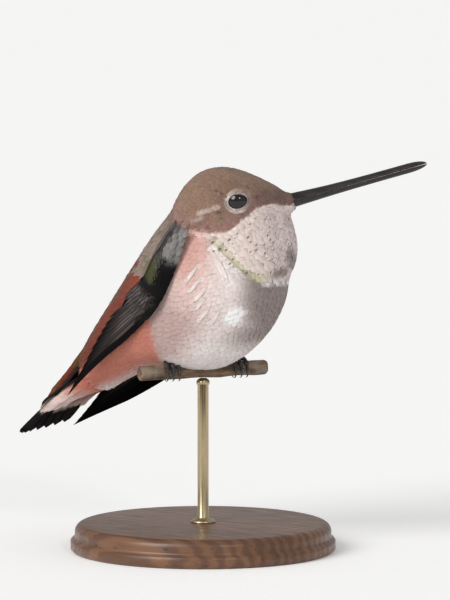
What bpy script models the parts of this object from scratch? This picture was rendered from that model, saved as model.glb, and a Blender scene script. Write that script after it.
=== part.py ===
"""A life-size rufous hummingbird, perched with folded wings on a plain T-shaped display stand.

+Z is up and the origin is on the floor, under the middle of the stand. The trunk is symmetric about the XZ
plane and its breast faces +X, so the bird's right side is towards -Y. The head is turned to the bird's left.
Sizes are in millimetres up to mesh_object(), which writes metres. Heights of the bird's own points count from
a level just over the perch, among the belly's feathers, and the empty "bird" lifts them all to it.
"""

import math

import bmesh
import bpy
import numpy as np
from mathutils import Euler, Matrix, Vector
from mathutils.geometry import normal

MM = 0.001
GAP = 0.3  # clearance between neighbouring solids
ROOM = 0.42  # what a pocket for a thin, ribbed plate leaves free on each side of it

# The stand
BASE_RADIUS, BASE_HEIGHT, BASE_BEVEL = 19.0, 4.0, 0.8
ROD_RADIUS, ROD_SOCKET = 0.8, 2.4
PERCH_TOP, PERCH_RADIUS, PERCH_LENGTH = 27.0, 1.1, 20.0
BIRD_LIFT = 0.8  # of the bird's zero height over the perch
PERCH_TURN = math.radians(59)  # from +X towards +Y
PERCH_AXIS = Vector((math.cos(PERCH_TURN), math.sin(PERCH_TURN), 0))
PERCH_FRONT = Vector((PERCH_AXIS.y, -PERCH_AXIS.x, 0))

# The trunk, in the XZ plane, from inside the head to the root of the tail
TRUNK = (  # x and z of the back, x and z of the breast, half width
    (-3.3, 22.8, 11.6, 21.0, 5.2),
    (-5.2, 20.1, 12.8, 17.6, 7.0),
    (-7.6, 17.2, 13.5, 12.4, 8.4),
    (-9.9, 14.1, 12.1, 6.8, 9.0),
    (-12.0, 11.2, 8.4, 2.0, 9.0),
    (-13.9, 8.7, 3.4, -1.3, 8.2),
    (-15.9, 6.1, -1.6, -1.9, 7.0),
    (-17.9, 3.3, -6.8, -1.6, 5.8),
    (-19.7, 0.6, -12.0, -3.4, 4.6),
    (-21.3, -2.0, -16.8, -6.0, 3.6),
)
# The head, back from the root of the bill along its own axis
HEAD_ROOT = Vector((12.6, 4.6, 22.6))
HEAD_TURN, HEAD_TILT = math.radians(32), math.radians(13)
HEAD = (  # distance behind the bill, height, half width, half height
    (0.0, -0.35, 1.3, 1.5),
    (1.6, -0.1, 2.0, 2.3),
    (3.6, 0.6, 3.1, 3.3),
    (6.2, 1.2, 4.4, 4.6),
    (9.0, 1.45, 5.1, 5.6),
    (12.0, 1.0, 5.3, 6.1),
    (14.8, -0.2, 5.0, 5.9),
    (17.4, -1.8, 4.1, 4.7),
)
THROAT = (  # how far along the head's axis, sideways and up its middle is, and its radii
    (-5.3, 0.0, -4.9),
    (4.4, 4.4, 6.2),
)
BILL_LENGTH, BILL_ROOT_HALF, BILL_MIDDLE_HALF, BILL_RISE = 19.0, 1.05, 0.68, 0.9
EYE_RADIUS, EYE_CENTRE = 1.75, Vector((-8.0, 3.65, 2.0))
FLESH_VOXEL, FLESH_SMOOTHING, FLESH_TRIANGLES = 0.45, 8, 1650
SOLID_SEGMENTS = 28

# Where the flesh is parted: a point of each cut and its normal, towards the tail
CUTS = {
    "neck": (Vector((5.2, 0.0, 18.6)), Vector((-0.30, -0.10, -1.0))),
    "trunk": (Vector((4.0, 0.0, 15.4)), Vector((-0.38, 0.0, -1.0))),
    "rump": (Vector((-8.2, 0.0, 2.6)), Vector((-1.0, 0.0, -0.72))),
}

# The folded wings: the lower edge runs from the wrist to the tip, and the chord lies across it
WING_THICKNESS, TAIL_THICKNESS = 0.6, 0.6
PRIMARIES, SECONDARIES = 10, 6
WING_EDGE = (  # x, distance from the symmetry plane, z
    (2.8, 8.4, 18.4),
    (-0.6, 9.4, 9.6),
    (-6.2, 8.8, 3.4),
    (-13.0, 7.0, -2.0),
    (-22.4, 3.8, -9.4),
)
# The left wing hangs, and is held a little open
HANG = {"right": (0.0, 0.0), "left": (3.4, 3.9)}  # how much lower the tip and the middle are
OPENING = {"right": 0.0, "left": 1.3}  # how much wider the tip is, as a share
WING_REACH = {"right": 0.93, "left": 1.0}  # how much of the edge the longest primary covers
FEATHER_POINT = 0.05  # how far the corners of a feather's tip lie behind its middle, over the wing's length
COVERT_SHARE, SECONDARY_SHARE = 0.30, 0.47  # of the wing's length
PRIMARY_CHORD = 0.62  # share of the chord that the primaries take at the wrist
WING_TUCK, WING_CAMBER = 0.45, 0.10  # the lean of the upper edge towards the back, and the bulge, over the chord
CHORD = ((0.0, 3.8), (0.12, 5.2), (0.3, 6.0), (0.5, 5.6), (0.7, 4.3), (0.85, 2.7), (1.0, 1.0))

# The tail, a shallow fan of ten feathers
RECTRICES = 10
TAIL_ROOT, TAIL_TIP = Vector((-13.6, 0.0, 2.8)), Vector((-29.8, 0.0, -13.6))
TAIL_SPREAD, TAIL_ROOT_HALF, TAIL_GRADING, TAIL_DOME = math.radians(13), 1.7, 2.8, 0.8
TAIL_POINT = 0.9  # how far the corners of a feather's tip lie behind its middle

# The feet
FOOT_APART = 5.4  # of each foot from the middle of the perch
TOE_RADIUS, TARSUS_RADIUS, ANKLE_RADIUS = 0.34, 0.42, 0.56
LEG_LENGTH, THIGH_SWELL = 4.04, 1.15
TOES = (-0.95, 0.0, 0.95)  # the front toes, along the perch
FRONT_TOE, HIND_TOE = (-30, 96), (-24, -104)  # degrees round the perch, from its top towards the front
ANKLE_AT, CLAW_SWEEP = -27, 48

COLOURS = {  # base colour, roughness, metallic
    "plumage_crown": ((0.28, 0.17, 0.125), 0.75, 0.0),
    "plumage_pale": ((0.70, 0.60, 0.58), 0.8, 0.0),
    "plumage_throat": ((0.60, 0.48, 0.44), 0.8, 0.0),
    "plumage_rufous": ((0.30, 0.10, 0.05), 0.75, 0.0),
    "covert": ((0.14, 0.11, 0.09), 0.6, 0.0),
    "flight_feather": ((0.05, 0.042, 0.04), 0.5, 0.0),
    "bill": ((0.03, 0.025, 0.024), 0.3, 0.0),
    "eye": ((0.01, 0.008, 0.007), 0.05, 0.0),
    "foot": ((0.03, 0.027, 0.025), 0.5, 0.0),
    "perch": ((0.16, 0.10, 0.06), 0.8, 0.0),
    "stand_wood": ((0.20, 0.11, 0.06), 0.4, 0.0),
    "stand_metal": ((0.55, 0.50, 0.42), 0.3, 1.0),
}


def material(name):
    """The named Principled material, made the first time it is asked for."""
    if name in bpy.data.materials:
        return bpy.data.materials[name]
    made = bpy.data.materials.new(name)
    made.use_nodes = True
    shader = made.node_tree.nodes["Principled BSDF"]
    colour, roughness, metallic = COLOURS[name]
    shader.inputs["Base Color"].default_value = (*colour, 1.0)
    shader.inputs["Roughness"].default_value = roughness
    shader.inputs["Metallic"].default_value = metallic
    return made


def mesh_object(name, points, faces, surface=None, parent=None):
    """A smooth-shaded object from points in millimetres. With no material it is a hidden helper."""
    mesh = bpy.data.meshes.new(name)
    mesh.from_pydata([Vector(p) * MM for p in points], [], faces)
    work = bmesh.new()
    work.from_mesh(mesh)
    bmesh.ops.recalc_face_normals(work, faces=work.faces)
    work.to_mesh(mesh)
    work.free()
    mesh.shade_smooth()
    mesh.set_sharp_from_angle(angle=math.radians(50))
    made = bpy.data.objects.new(name, mesh)
    bpy.context.scene.collection.objects.link(made)
    made.parent = parent
    if surface:
        mesh.materials.append(material(surface))
    else:
        made.hide_render = True
        made.display_type = "WIRE"
    return made


def row_at(rows, share):
    """The row at a share of the way along a Catmull-Rom curve through these ones."""
    rows = np.array(rows, float)
    ends = np.vstack([2 * rows[0] - rows[1], rows, 2 * rows[-1] - rows[-2]])
    i = min(max(int(share * (len(rows) - 1)), 0), len(rows) - 2)
    t = share * (len(rows) - 1) - i
    a, b, c, d = ends[i : i + 4]
    return 0.5 * (2 * b + (c - a) * t + (2 * a - 5 * b + 4 * c - d) * t**2 + (3 * b - a - 3 * c + d) * t**3)


def smooth_rows(rows, count):
    return np.array([row_at(rows, k / (count - 1)) for k in range(count)])


def loft(rings):
    """Points and faces of a closed tube through rings of equally many points, with flat ends."""
    count, around = len(rings), len(rings[0])
    points = [p for ring in rings for p in ring]
    faces = [tuple(range(around)), tuple((count - 1) * around + k for k in reversed(range(around)))]
    for i in range(count - 1):
        for k in range(around):
            n = (k + 1) % around
            faces.append((i * around + k, (i + 1) * around + k, (i + 1) * around + n, i * around + n))
    return points, faces


def ring(centre, across, up, half_across, half_up, around=SOLID_SEGMENTS):
    """An ellipse of points round centre."""
    turns = [2 * math.pi * k / around for k in range(around)]
    return [centre + across * half_across * math.cos(t) + up * half_up * math.sin(t) for t in turns]


def tube(path, radii, around=5):
    """A closed tube of round rings along a path of points."""
    rings = []
    for i, (point, radius) in enumerate(zip(path, radii)):
        along = (path[min(i + 1, len(path) - 1)] - path[max(i - 1, 0)]).normalized()
        across = along.cross(Vector((0.13, -0.21, 1.0))).normalized()
        rings.append(ring(point, across, across.cross(along), radius, radius, around))
    return loft(rings)


def evaluated_mesh(obj):
    """A new mesh holding obj with its modifiers applied, in obj's own space."""
    bpy.context.view_layer.update()
    return bpy.data.meshes.new_from_object(obj.evaluated_get(bpy.context.evaluated_depsgraph_get()))


def head_matrix():
    """From the head's own axes (+X along the bill, +Z up, the origin at the bill's root) to the bird's."""
    return Matrix.Translation(HEAD_ROOT) @ Euler((0, -HEAD_TILT, HEAD_TURN)).to_matrix().to_4x4()


def trunk_rings():
    rings = []
    for back_x, back_z, breast_x, breast_z, half_width in smooth_rows(TRUNK, 26):
        back, breast = Vector((back_x, 0, back_z)), Vector((breast_x, 0, breast_z))
        half = (breast - back) / 2
        rings.append(ring(back + half, Vector((0, 1, 0)), half.normalized(), half_width, half.length))
    return rings


def head_rings():
    place = head_matrix()
    rings = []
    for back, height, half_width, half_height in smooth_rows(HEAD, 22):
        flat = ring(Vector((-back, 0, height)), Vector((0, 1, 0)), Vector((0, 0, 1)), half_width, half_height)
        rings.append([place @ p for p in flat])
    return rings


def ellipsoid_rings(centre, radii, count=12):
    """Rings along X, short of the poles by a little."""
    rings = []
    for k in range(count):
        turn = math.pi * (k + 0.35) / (count - 0.3)
        share = math.sin(turn)
        at = centre + Vector((-radii[0] * math.cos(turn), 0, 0))
        rings.append(ring(at, Vector((0, 1, 0)), Vector((0, 0, 1)), radii[1] * share, radii[2] * share))
    return rings


def make_flesh(parent):
    """Head, throat and trunk run together into one closed skin, as a hidden helper."""
    place = head_matrix()
    throat = [[place @ p for p in r] for r in ellipsoid_rings(Vector(THROAT[0]), THROAT[1])]
    points, faces = [], []
    for rings in (trunk_rings(), head_rings(), throat):
        more, more_faces = loft(rings)
        faces += [tuple(len(points) + k for k in face) for face in more_faces]
        points += more
    rough = mesh_object("flesh_rough", points, faces, parent=parent)
    join = rough.modifiers.new("join", "REMESH")
    join.mode, join.voxel_size = "VOXEL", FLESH_VOXEL * MM
    ease = rough.modifiers.new("ease", "SMOOTH")
    ease.factor, ease.iterations = 0.5, FLESH_SMOOTHING
    dense = evaluated_mesh(rough)
    thin = rough.modifiers.new("thin", "DECIMATE")
    dense.calc_loop_triangles()
    thin.ratio = FLESH_TRIANGLES / len(dense.loop_triangles)
    return evaluated_mesh(rough)


def slice_flesh(flesh, name, surface, parent, front=None, back=None):
    """The stretch of flesh behind the cut called front and before the one called back."""
    work = bmesh.new()
    work.from_mesh(flesh)
    for cut, sign in ((front, 1), (back, -1)):
        if cut is None:
            continue
        point, facing = CUTS[cut][0], CUTS[cut][1].normalized() * sign
        geometry = work.verts[:] + work.edges[:] + work.faces[:]
        where = (point + facing * GAP / 2) * MM
        bmesh.ops.bisect_plane(work, geom=geometry, plane_co=where, plane_no=facing, clear_inner=True)
        open_edges = [e for e in work.edges if e.is_boundary]
        bmesh.ops.edgeloop_fill(work, edges=open_edges)
    bmesh.ops.triangulate(work, faces=[f for f in work.faces if len(f.verts) > 4])
    mesh = bpy.data.meshes.new(name)
    work.to_mesh(mesh)
    work.free()
    mesh.shade_smooth()
    mesh.set_sharp_from_angle(angle=math.radians(50))
    mesh.materials.append(material(surface))
    made = bpy.data.objects.new(name, mesh)
    bpy.context.scene.collection.objects.link(made)
    made.parent = parent
    return made


def cut_away(target, *cutters):
    for cutter in cutters:
        step = target.modifiers.new("without_" + cutter.name, "BOOLEAN")
        step.operation, step.object, step.solver = "DIFFERENCE", cutter, "EXACT"


def ball(centre, radius, segments=12):
    """Points and faces of a round ball, from a subdivided sphere of rings."""
    work = bmesh.new()
    bmesh.ops.create_uvsphere(work, u_segments=segments, v_segments=segments // 2 + 2, radius=radius)
    bmesh.ops.translate(work, verts=work.verts, vec=centre)
    points = [v.co.copy() for v in work.verts]
    faces = [tuple(v.index for v in f.verts) for f in work.faces]
    work.free()
    return points, faces


def make_eyes(head, parent):
    place = head_matrix()
    for side, sign in (("left", 1), ("right", -1)):
        centre = place @ Vector((EYE_CENTRE.x, sign * EYE_CENTRE.y, EYE_CENTRE.z))
        mesh_object(f"eye_{side}", *ball(centre, EYE_RADIUS), "eye", parent)
        socket = mesh_object(f"socket_{side}", *ball(centre, EYE_RADIUS + GAP), parent=parent)
        cut_away(head, socket)


def bill_half(along):
    """Half the bill's height at a share of its length."""
    root, middle = BILL_ROOT_HALF, BILL_MIDDLE_HALF
    swell = middle + (root - middle) * (1 - along) ** 4
    return max(0.12, swell * math.sqrt(max(0.0, 1 - max(0.0, (along - 0.86) / 0.14) ** 2 * 0.97)))


def make_bill(parent):
    """The two mandibles, each half of a slender tapered rod, with the gape between them."""
    place = head_matrix()
    for name, sign in (("bill_upper", 1), ("bill_lower", -1)):
        rings = []
        for k in range(12):
            along = k / 11
            half = bill_half(along) * (1.0 if sign > 0 else 0.94)
            flat = []
            for j in range(7):
                turn = math.pi * j / 6
                rise = GAP / 2 + max(half - GAP / 2, 0.08) * math.sin(turn)
                axis = BILL_RISE * along
                across = half * 1.05 * math.cos(turn)
                flat.append(place @ Vector((GAP + along * BILL_LENGTH, across, axis + sign * rise)))
            rings.append(flat)
        mesh_object(name, *loft(rings), "bill", parent)


def chord_at(side, along):
    shares, widths = zip(*CHORD)
    return float(np.interp(along, shares, widths)) * (1 + OPENING[side] * along**2)


def wing_point(side, chord_share, along, out=0.0):
    """A point of the folded wing's middle surface, or at a distance out from it.

    along runs from the wrist to the tip of the longest primary, and chord_share from the lower edge up.
    """
    tip_hang, middle_hang = HANG[side]
    drop = tip_hang * along**2 + middle_hang * math.sin(math.pi * min(1.0, max(0.0, along)) ** 1.6)
    lower = Vector(row_at(WING_EDGE, along)) - Vector((0.45 * tip_hang * along**2, 0, drop))
    run = Vector(row_at(WING_EDGE, along + 0.02) - row_at(WING_EDGE, along - 0.02))
    outward = Vector((0.0, 1.0, 0.0))
    up = outward.cross(run).normalized()
    up = up if up.z > 0 else -up
    tuck = -WING_TUCK * max(0.0, chord_share) ** 1.5 * (1 - 0.55 * along)
    width = chord_at(side, along)
    camber = WING_CAMBER * width * math.sin(math.pi * min(1.0, chord_share))
    point = lower + up * (width * chord_share) + outward * (tuck * width + camber + out)
    return Vector((point.x, -point.y if side == "right" else point.y, point.z))


def flatter_halves(face, points):
    """The two triangles of a four-sided face, parted along the diagonal that folds it least."""
    a, b, c, d = face

    def fold(*triangles):
        first, second = (normal([points[k] for k in triangle]) for triangle in triangles)
        return first.angle(second, math.pi)

    ways = [((a, b, c), (a, c, d)), ((a, b, d), (b, c, d))]
    return min(ways, key=lambda way: fold(*way))


def plate(columns, thickness, grow=0.0):
    """A closed plate from columns of (point, outward) pairs, which share their number of rows."""
    rows, across = len(columns[0]), len(columns)
    half = thickness / 2 + grow
    points = []
    for reach in (half, -half):
        for column in columns:
            points += [point + outward * reach for point, outward in column]
    faces = []

    def index(side, column, row):
        return side * across * rows + column * rows + row

    for c in range(across - 1):
        for r in range(rows - 1):
            upper = (index(0, c, r), index(0, c + 1, r), index(0, c + 1, r + 1), index(0, c, r + 1))
            for half in flatter_halves(upper, points):
                faces += [half, tuple(k + across * rows for k in reversed(half))]
        for r in (0, rows - 1):
            faces.append((index(0, c, r), index(1, c, r), index(1, c + 1, r), index(0, c + 1, r)))
    for r in range(rows - 1):
        for c in (0, across - 1):
            faces.append((index(0, c, r), index(0, c, r + 1), index(1, c, r + 1), index(1, c, r)))
    return points, faces


def feather_columns(side, low, high, tip_low, tip_high, count, start, tips, rows):
    """Columns for count feathers with rounded tips, side by side from the chord share low to high.

    Their tips lie between the shares tip_low and tip_high, each further back than the last.
    """
    outward = Vector((0, -1 if side == "right" else 1, 0))
    columns = []
    for i in range(count):
        full = tips(i) * WING_REACH[side] - start
        for part, (across, corner) in enumerate(((0.04, FEATHER_POINT), (0.5, 0.0), (0.96, FEATHER_POINT))):
            inwards = (i + across) / count
            share = low + (high - low) * inwards
            tip_share = tip_low + (tip_high - tip_low) * inwards**0.6
            column = []
            for r in range(rows):
                # Towards the tips the feathers sweep up to the upper edge, where they end one after another.
                done = r / (rows - 1) * (1 - corner / full)
                sweep = share + (tip_share - share) * done**2.2
                lift = 0.16 * (1 - part / 2) - 0.08
                column.append((wing_point(side, sweep, start + full * done, lift), outward))
            columns.append(column)
    return columns


def grown(columns):
    """Four of the feathers' middle columns, reaching further on all sides, for the room round a plate."""

    def past(end, inner, more=0.0):
        run = end[0] - inner[0]
        return end[0] + run * more + run.normalized() * ROOM, end[1]

    middles = [[past(c[0], c[1])] + c[1:-1] + [past(c[-1], c[-2])] for c in columns[1::3]]
    first = [past(*pair, 0.5) for pair in zip(middles[0], middles[1])]
    last = [past(*pair, 0.5) for pair in zip(middles[-1], middles[-2])]
    return [first, middles[len(middles) // 3], middles[2 * len(middles) // 3], last]


def primary_tip(i):
    """How far along the wing the tip of primary i is, counted from the outermost."""
    return 1.0 - 0.38 * (i / (PRIMARIES - 1)) ** 1.1


def secondary_tip(i):
    return SECONDARY_SHARE - 0.05 * i / (SECONDARIES - 1)


def covert_rings(side, grow=0.0):
    """Rings along the shoulder, from the rounded wrist to where the flight feathers start."""
    rings = []
    steps = 5 if grow else 8
    for k in range(steps + 1):
        t = k / steps
        along = COVERT_SHARE * t - GAP / 60
        full = math.sqrt(max(0.0, 1 - (1 - t) ** 2.4)) * 0.9 + 0.1
        half_thick = (0.5 + 0.75 * math.sin(math.pi * min(1.0, t + 0.12))) * full + grow
        flat = []
        for j in range(12):
            turn = 2 * math.pi * j / 12
            share = 0.5 - 0.5 * math.cos(turn) * (full + 2 * grow / chord_at(side, along))
            flat.append(wing_point(side, share, along, half_thick * math.sin(turn)))
        rings.append(flat)
    return rings


def make_wing(side, parent):
    """The shoulder's coverts, the secondaries and the primaries of one folded wing. Returns its cutters."""
    start = COVERT_SHARE + 0.01
    spans = {  # of the chord, at the wrist and at the tips
        "primaries": (0.0, PRIMARY_CHORD, 0.45, 0.97),
        "secondaries": (PRIMARY_CHORD + 0.1, 1.0, 0.76, 1.0),
    }
    tips = {"primaries": primary_tip, "secondaries": secondary_tip}
    counts = {"primaries": PRIMARIES, "secondaries": SECONDARIES}
    rows = {"primaries": 6, "secondaries": 3}
    cutters = []
    for kind, span in spans.items():
        columns = feather_columns(side, *span, counts[kind], start, tips[kind], rows[kind])
        mesh_object(f"wing_{side}_{kind}", *plate(columns, WING_THICKNESS), "flight_feather", parent)
        room = plate(grown(columns), WING_THICKNESS, ROOM)
        cutters.append(mesh_object(f"room_{kind}_{side}", *room, parent=parent))
    mesh_object(f"wing_{side}_coverts", *loft(covert_rings(side)), "covert", parent)
    cutters.append(mesh_object(f"room_coverts_{side}", *loft(covert_rings(side, GAP)), parent=parent))
    return cutters


def tail_columns():
    along = (TAIL_TIP - TAIL_ROOT).normalized()
    full = (TAIL_TIP - TAIL_ROOT).length
    upward = Vector((along.z, 0, -along.x))
    upward = upward if upward.z > 0 else -upward
    columns = []
    for i in range(RECTRICES):
        for part, shorten in enumerate((TAIL_POINT, 0.0, TAIL_POINT)):
            share = ((i + (0.06, 0.5, 0.94)[part]) / RECTRICES - 0.5) * 2
            outer = abs(((i + 0.5) / RECTRICES - 0.5) * 2)
            length = full - TAIL_GRADING * outer**1.6 - shorten
            turn = TAIL_SPREAD * share
            column = []
            for r in range(6):
                reach = length * r / 5
                side = TAIL_ROOT_HALF * share + math.sin(turn) * reach
                stack = 0.1 * (1 - part / 2) * (1 if share > 0 else -1)
                rise = TAIL_DOME * (1 - share**2) * (r / 5) + stack
                point = TAIL_ROOT + along * (math.cos(turn) * reach) + Vector((0, side, 0))
                column.append((point + upward * rise, upward))
            columns.append(column)
    return columns


def make_tail(parent):
    columns = tail_columns()
    mesh_object("tail", *plate(columns, TAIL_THICKNESS), "flight_feather", parent)
    return mesh_object("room_tail", *plate(grown(columns), TAIL_THICKNESS, ROOM), parent=parent)


def round_perch(foot, degrees, radius, shift=0.0):
    """A point at an angle round the perch, at a distance from its axis."""
    turn = math.radians(degrees)
    middle = foot + PERCH_AXIS * shift - Vector((0, 0, PERCH_RADIUS + BIRD_LIFT))
    return middle + PERCH_FRONT * (math.sin(turn) * radius) + Vector((0, 0, math.cos(turn) * radius))


def toe(foot, sweep, shift):
    """One toe, hooked round the perch, with its claw."""
    radius = PERCH_RADIUS + GAP + TOE_RADIUS
    start, end = sweep
    claw = CLAW_SWEEP if end > start else -CLAW_SWEEP
    path, radii = [], []
    for k in range(7):
        share = k / 6
        aside = shift * min(1, share * 2.2)
        knuckle = 0.05 * math.cos(share * math.pi * 6)
        path.append(round_perch(foot, start + (end - start) * share, radius, aside))
        radii.append(TOE_RADIUS * (1.0 - 0.22 * share) + knuckle)
    for k in range(1, 4):
        share = k / 3
        arch = 0.25 * math.sin(math.pi * share)
        path.append(round_perch(foot, end + claw * share, radius + arch, shift))
        radii.append(TOE_RADIUS * (0.74 - 0.62 * share))
    return tube(path, radii)


def make_foot(side, sign, parent):
    """The foot, with four toes on a common root, and the leg above it. Returns the cutters of both."""
    foot = PERCH_AXIS * (sign * FOOT_APART)
    ankle = round_perch(foot, ANKLE_AT, PERCH_RADIUS + GAP + TOE_RADIUS + 0.1)
    made = mesh_object(f"foot_{side}", *ball(ankle, ANKLE_RADIUS, 10), "foot", parent)
    for number, shift in enumerate(TOES + (0.0,)):
        sweep = FRONT_TOE if number < len(TOES) else HIND_TOE
        one = mesh_object(f"toe_{side}_{number}", *toe(foot, sweep, shift), parent=parent)
        step = made.modifiers.new("with_" + one.name, "BOOLEAN")
        step.operation, step.object, step.solver = "UNION", one, "EXACT"

    up = (Vector((-0.30, 0, 1.0)) - PERCH_FRONT * 0.18).normalized()
    low = ankle + up * (ANKLE_RADIUS + GAP)
    high = ankle + up * (ANKLE_RADIUS + LEG_LENGTH)
    path = [low.lerp(high, k / 5) for k in range(6)]
    radii = [TARSUS_RADIUS + THIGH_SWELL * (k / 5) ** 1.6 for k in range(6)]
    mesh_object(f"leg_{side}", *tube(path, radii, 8), "plumage_pale", parent)
    room = tube([low - up * GAP] + path[1:-1] + [high + up * GAP], [r + GAP for r in radii], 8)
    leg_room = mesh_object(f"room_leg_{side}", *room, parent=parent)

    span = PERCH_AXIS * (TOES[-1] + 2.5 * TOE_RADIUS)
    middle = foot - Vector((0, 0, PERCH_RADIUS + BIRD_LIFT))
    reach = PERCH_RADIUS + 2 * TOE_RADIUS + 2.4 * GAP
    room = tube([middle - span, middle + span], [reach] * 2, 12)
    toe_room = mesh_object(f"room_toes_{side}", *room, parent=parent)
    return leg_room, toe_room


def turned(profile, segments):
    """A solid of revolution about Z from (radius, height) pairs, bottom to top."""
    x, y = Vector((1, 0, 0)), Vector((0, 1, 0))
    return loft([ring(Vector((0, 0, height)), x, y, radius, radius, segments) for radius, height in profile])


def perch(radius):
    half = PERCH_AXIS * PERCH_LENGTH / 2
    middle = Vector((0, 0, PERCH_TOP - PERCH_RADIUS))
    return tube([middle - half, middle, middle + half], [radius] * 3, 16)


def make_stand():
    """A round base, a short rod and a cut length of twig as the perch."""
    profile = [(BASE_RADIUS - BASE_BEVEL / 2, 0.0), (BASE_RADIUS, BASE_BEVEL / 2)]
    for k in range(4):
        turn = math.pi / 2 * k / 3
        inset, drop = BASE_BEVEL * (1 - math.cos(turn)), BASE_BEVEL * (1 - math.sin(turn))
        profile.append((BASE_RADIUS - inset, BASE_HEIGHT - drop))
    base = mesh_object("stand_base", *turned(profile, 38), "stand_wood")
    socket = [(ROD_RADIUS + GAP, BASE_HEIGHT - ROD_SOCKET), (ROD_RADIUS + GAP, BASE_HEIGHT + 1.0)]
    cut_away(base, mesh_object("rod_socket", *turned(socket, 24)))
    axis_height = PERCH_TOP - PERCH_RADIUS
    rod = [(ROD_RADIUS, BASE_HEIGHT - ROD_SOCKET + GAP), (ROD_RADIUS, axis_height - PERCH_RADIUS - GAP)]
    mesh_object("stand_rod", *turned(rod, 24), "stand_metal")
    mesh_object("stand_perch", *perch(PERCH_RADIUS), "perch")


def make_bird():
    bird = bpy.data.objects.new("bird", None)
    bpy.context.scene.collection.objects.link(bird)
    bird.location.z = (PERCH_TOP + BIRD_LIFT) * MM
    flesh = make_flesh(bird)
    head = slice_flesh(flesh, "head", "plumage_crown", bird, back="neck")
    slice_flesh(flesh, "neck", "plumage_throat", bird, front="neck", back="trunk")
    trunk = slice_flesh(flesh, "trunk", "plumage_pale", bird, front="trunk", back="rump")
    rump = slice_flesh(flesh, "rump", "plumage_rufous", bird, front="rump")
    make_eyes(head, bird)
    make_bill(bird)
    for side in HANG:
        room = make_wing(side, bird)
        cut_away(trunk, *room)
        cut_away(rump, *room[:2])
    cut_away(rump, make_tail(bird))
    for side, sign in (("left", 1), ("right", -1)):
        cut_away(trunk, *make_foot(side, sign, bird))
    cut_away(trunk, mesh_object("room_perch", *perch(PERCH_RADIUS + GAP)))


def main():
    for old in list(bpy.data.objects):
        bpy.data.objects.remove(old)
    make_stand()
    make_bird()


main()
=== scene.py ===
import math

import bmesh
import bpy
import numpy as np
from mathutils import Euler, Matrix, Vector
from mathutils.bvhtree import BVHTree
from mathutils.kdtree import KDTree


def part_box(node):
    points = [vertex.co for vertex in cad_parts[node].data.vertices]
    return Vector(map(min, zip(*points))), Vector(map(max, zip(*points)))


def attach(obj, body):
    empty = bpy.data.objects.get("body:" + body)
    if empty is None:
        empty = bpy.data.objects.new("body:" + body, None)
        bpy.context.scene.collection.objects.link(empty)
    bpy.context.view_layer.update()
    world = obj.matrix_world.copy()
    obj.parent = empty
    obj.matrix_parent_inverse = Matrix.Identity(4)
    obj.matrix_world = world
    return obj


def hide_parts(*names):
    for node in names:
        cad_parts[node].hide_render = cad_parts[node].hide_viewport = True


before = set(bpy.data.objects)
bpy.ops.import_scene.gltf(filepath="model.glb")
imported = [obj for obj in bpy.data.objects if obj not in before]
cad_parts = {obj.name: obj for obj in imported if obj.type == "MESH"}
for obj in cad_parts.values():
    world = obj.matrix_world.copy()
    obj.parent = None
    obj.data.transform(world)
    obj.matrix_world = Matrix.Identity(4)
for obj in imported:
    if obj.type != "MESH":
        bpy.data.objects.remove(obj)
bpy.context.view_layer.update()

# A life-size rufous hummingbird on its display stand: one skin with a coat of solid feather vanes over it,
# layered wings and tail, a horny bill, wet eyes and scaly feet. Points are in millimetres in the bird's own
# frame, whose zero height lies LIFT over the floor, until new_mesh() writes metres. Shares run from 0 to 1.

rng = np.random.default_rng(11)
MM, LIFT = 0.001, 27.8
AHEAD, ACROSS, UP = np.eye(3)
LEFT_RIGHT = (("left", 1), ("right", -1))

# The solids' own values, in millimetres
GAP = 0.3
TRUNK = (  # x and z of the back, x and z of the breast, half width
    (-3.3, 22.8, 11.6, 21.0, 5.2),
    (-5.2, 20.1, 12.8, 17.6, 7.0),
    (-7.6, 17.2, 13.5, 12.4, 8.4),
    (-9.9, 14.1, 12.1, 6.8, 9.0),
    (-12.0, 11.2, 8.4, 2.0, 9.0),
    (-13.9, 8.7, 3.4, -1.3, 8.2),
    (-15.9, 6.1, -1.6, -1.9, 7.0),
    (-17.9, 3.3, -6.8, -1.6, 5.8),
    (-19.7, 0.6, -12.0, -3.4, 4.6),
    (-21.3, -2.0, -16.8, -6.0, 3.6),
)
HEAD_ROOT = np.array([12.6, 4.6, 22.6])
HEAD_TURN, HEAD_TILT = math.radians(32), math.radians(13)
HEAD = (  # distance behind the bill, height, half width, half height
    (0.0, -0.35, 1.3, 1.5),
    (1.6, -0.1, 2.0, 2.3),
    (3.6, 0.6, 3.1, 3.3),
    (6.2, 1.2, 4.4, 4.6),
    (9.0, 1.45, 5.1, 5.6),
    (12.0, 1.0, 5.3, 6.1),
    (14.8, -0.2, 5.0, 5.9),
    (17.4, -1.8, 4.1, 4.7),
)
THROAT, THROAT_RADII = np.array([-5.3, 0.0, -4.9]), np.array([4.4, 4.4, 6.2])
BILL_LENGTH, BILL_ROOT_HALF, BILL_MIDDLE_HALF, BILL_RISE = 19.0, 1.05, 0.68, 0.9
EYE_RADIUS, EYE_CENTRE = 1.75, np.array([-8.0, 3.65, 2.0])
EYES = np.stack([EYE_CENTRE * [1, sign, 1] for _, sign in LEFT_RIGHT])
PERCH_RADIUS, PERCH_LENGTH = 1.1, 20.0
PERCH_TURN = math.radians(59)
PERCH_AXIS = np.array([math.cos(PERCH_TURN), math.sin(PERCH_TURN), 0.0])
PERCH_FRONT = np.array([PERCH_AXIS[1], -PERCH_AXIS[0], 0.0])
PERCH_AXLE = -PERCH_RADIUS - 0.8  # height of the perch's middle in the bird's frame
FOOT_APART, TOE_RADIUS, ANKLE_AT = 5.4, 0.34, -27
TOES = (-0.95, 0.0, 0.95)
FRONT_TOE, HIND_TOE, CLAW_SWEEP = (-30, 96), (-24, -104), 48  # degrees round the perch
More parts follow.
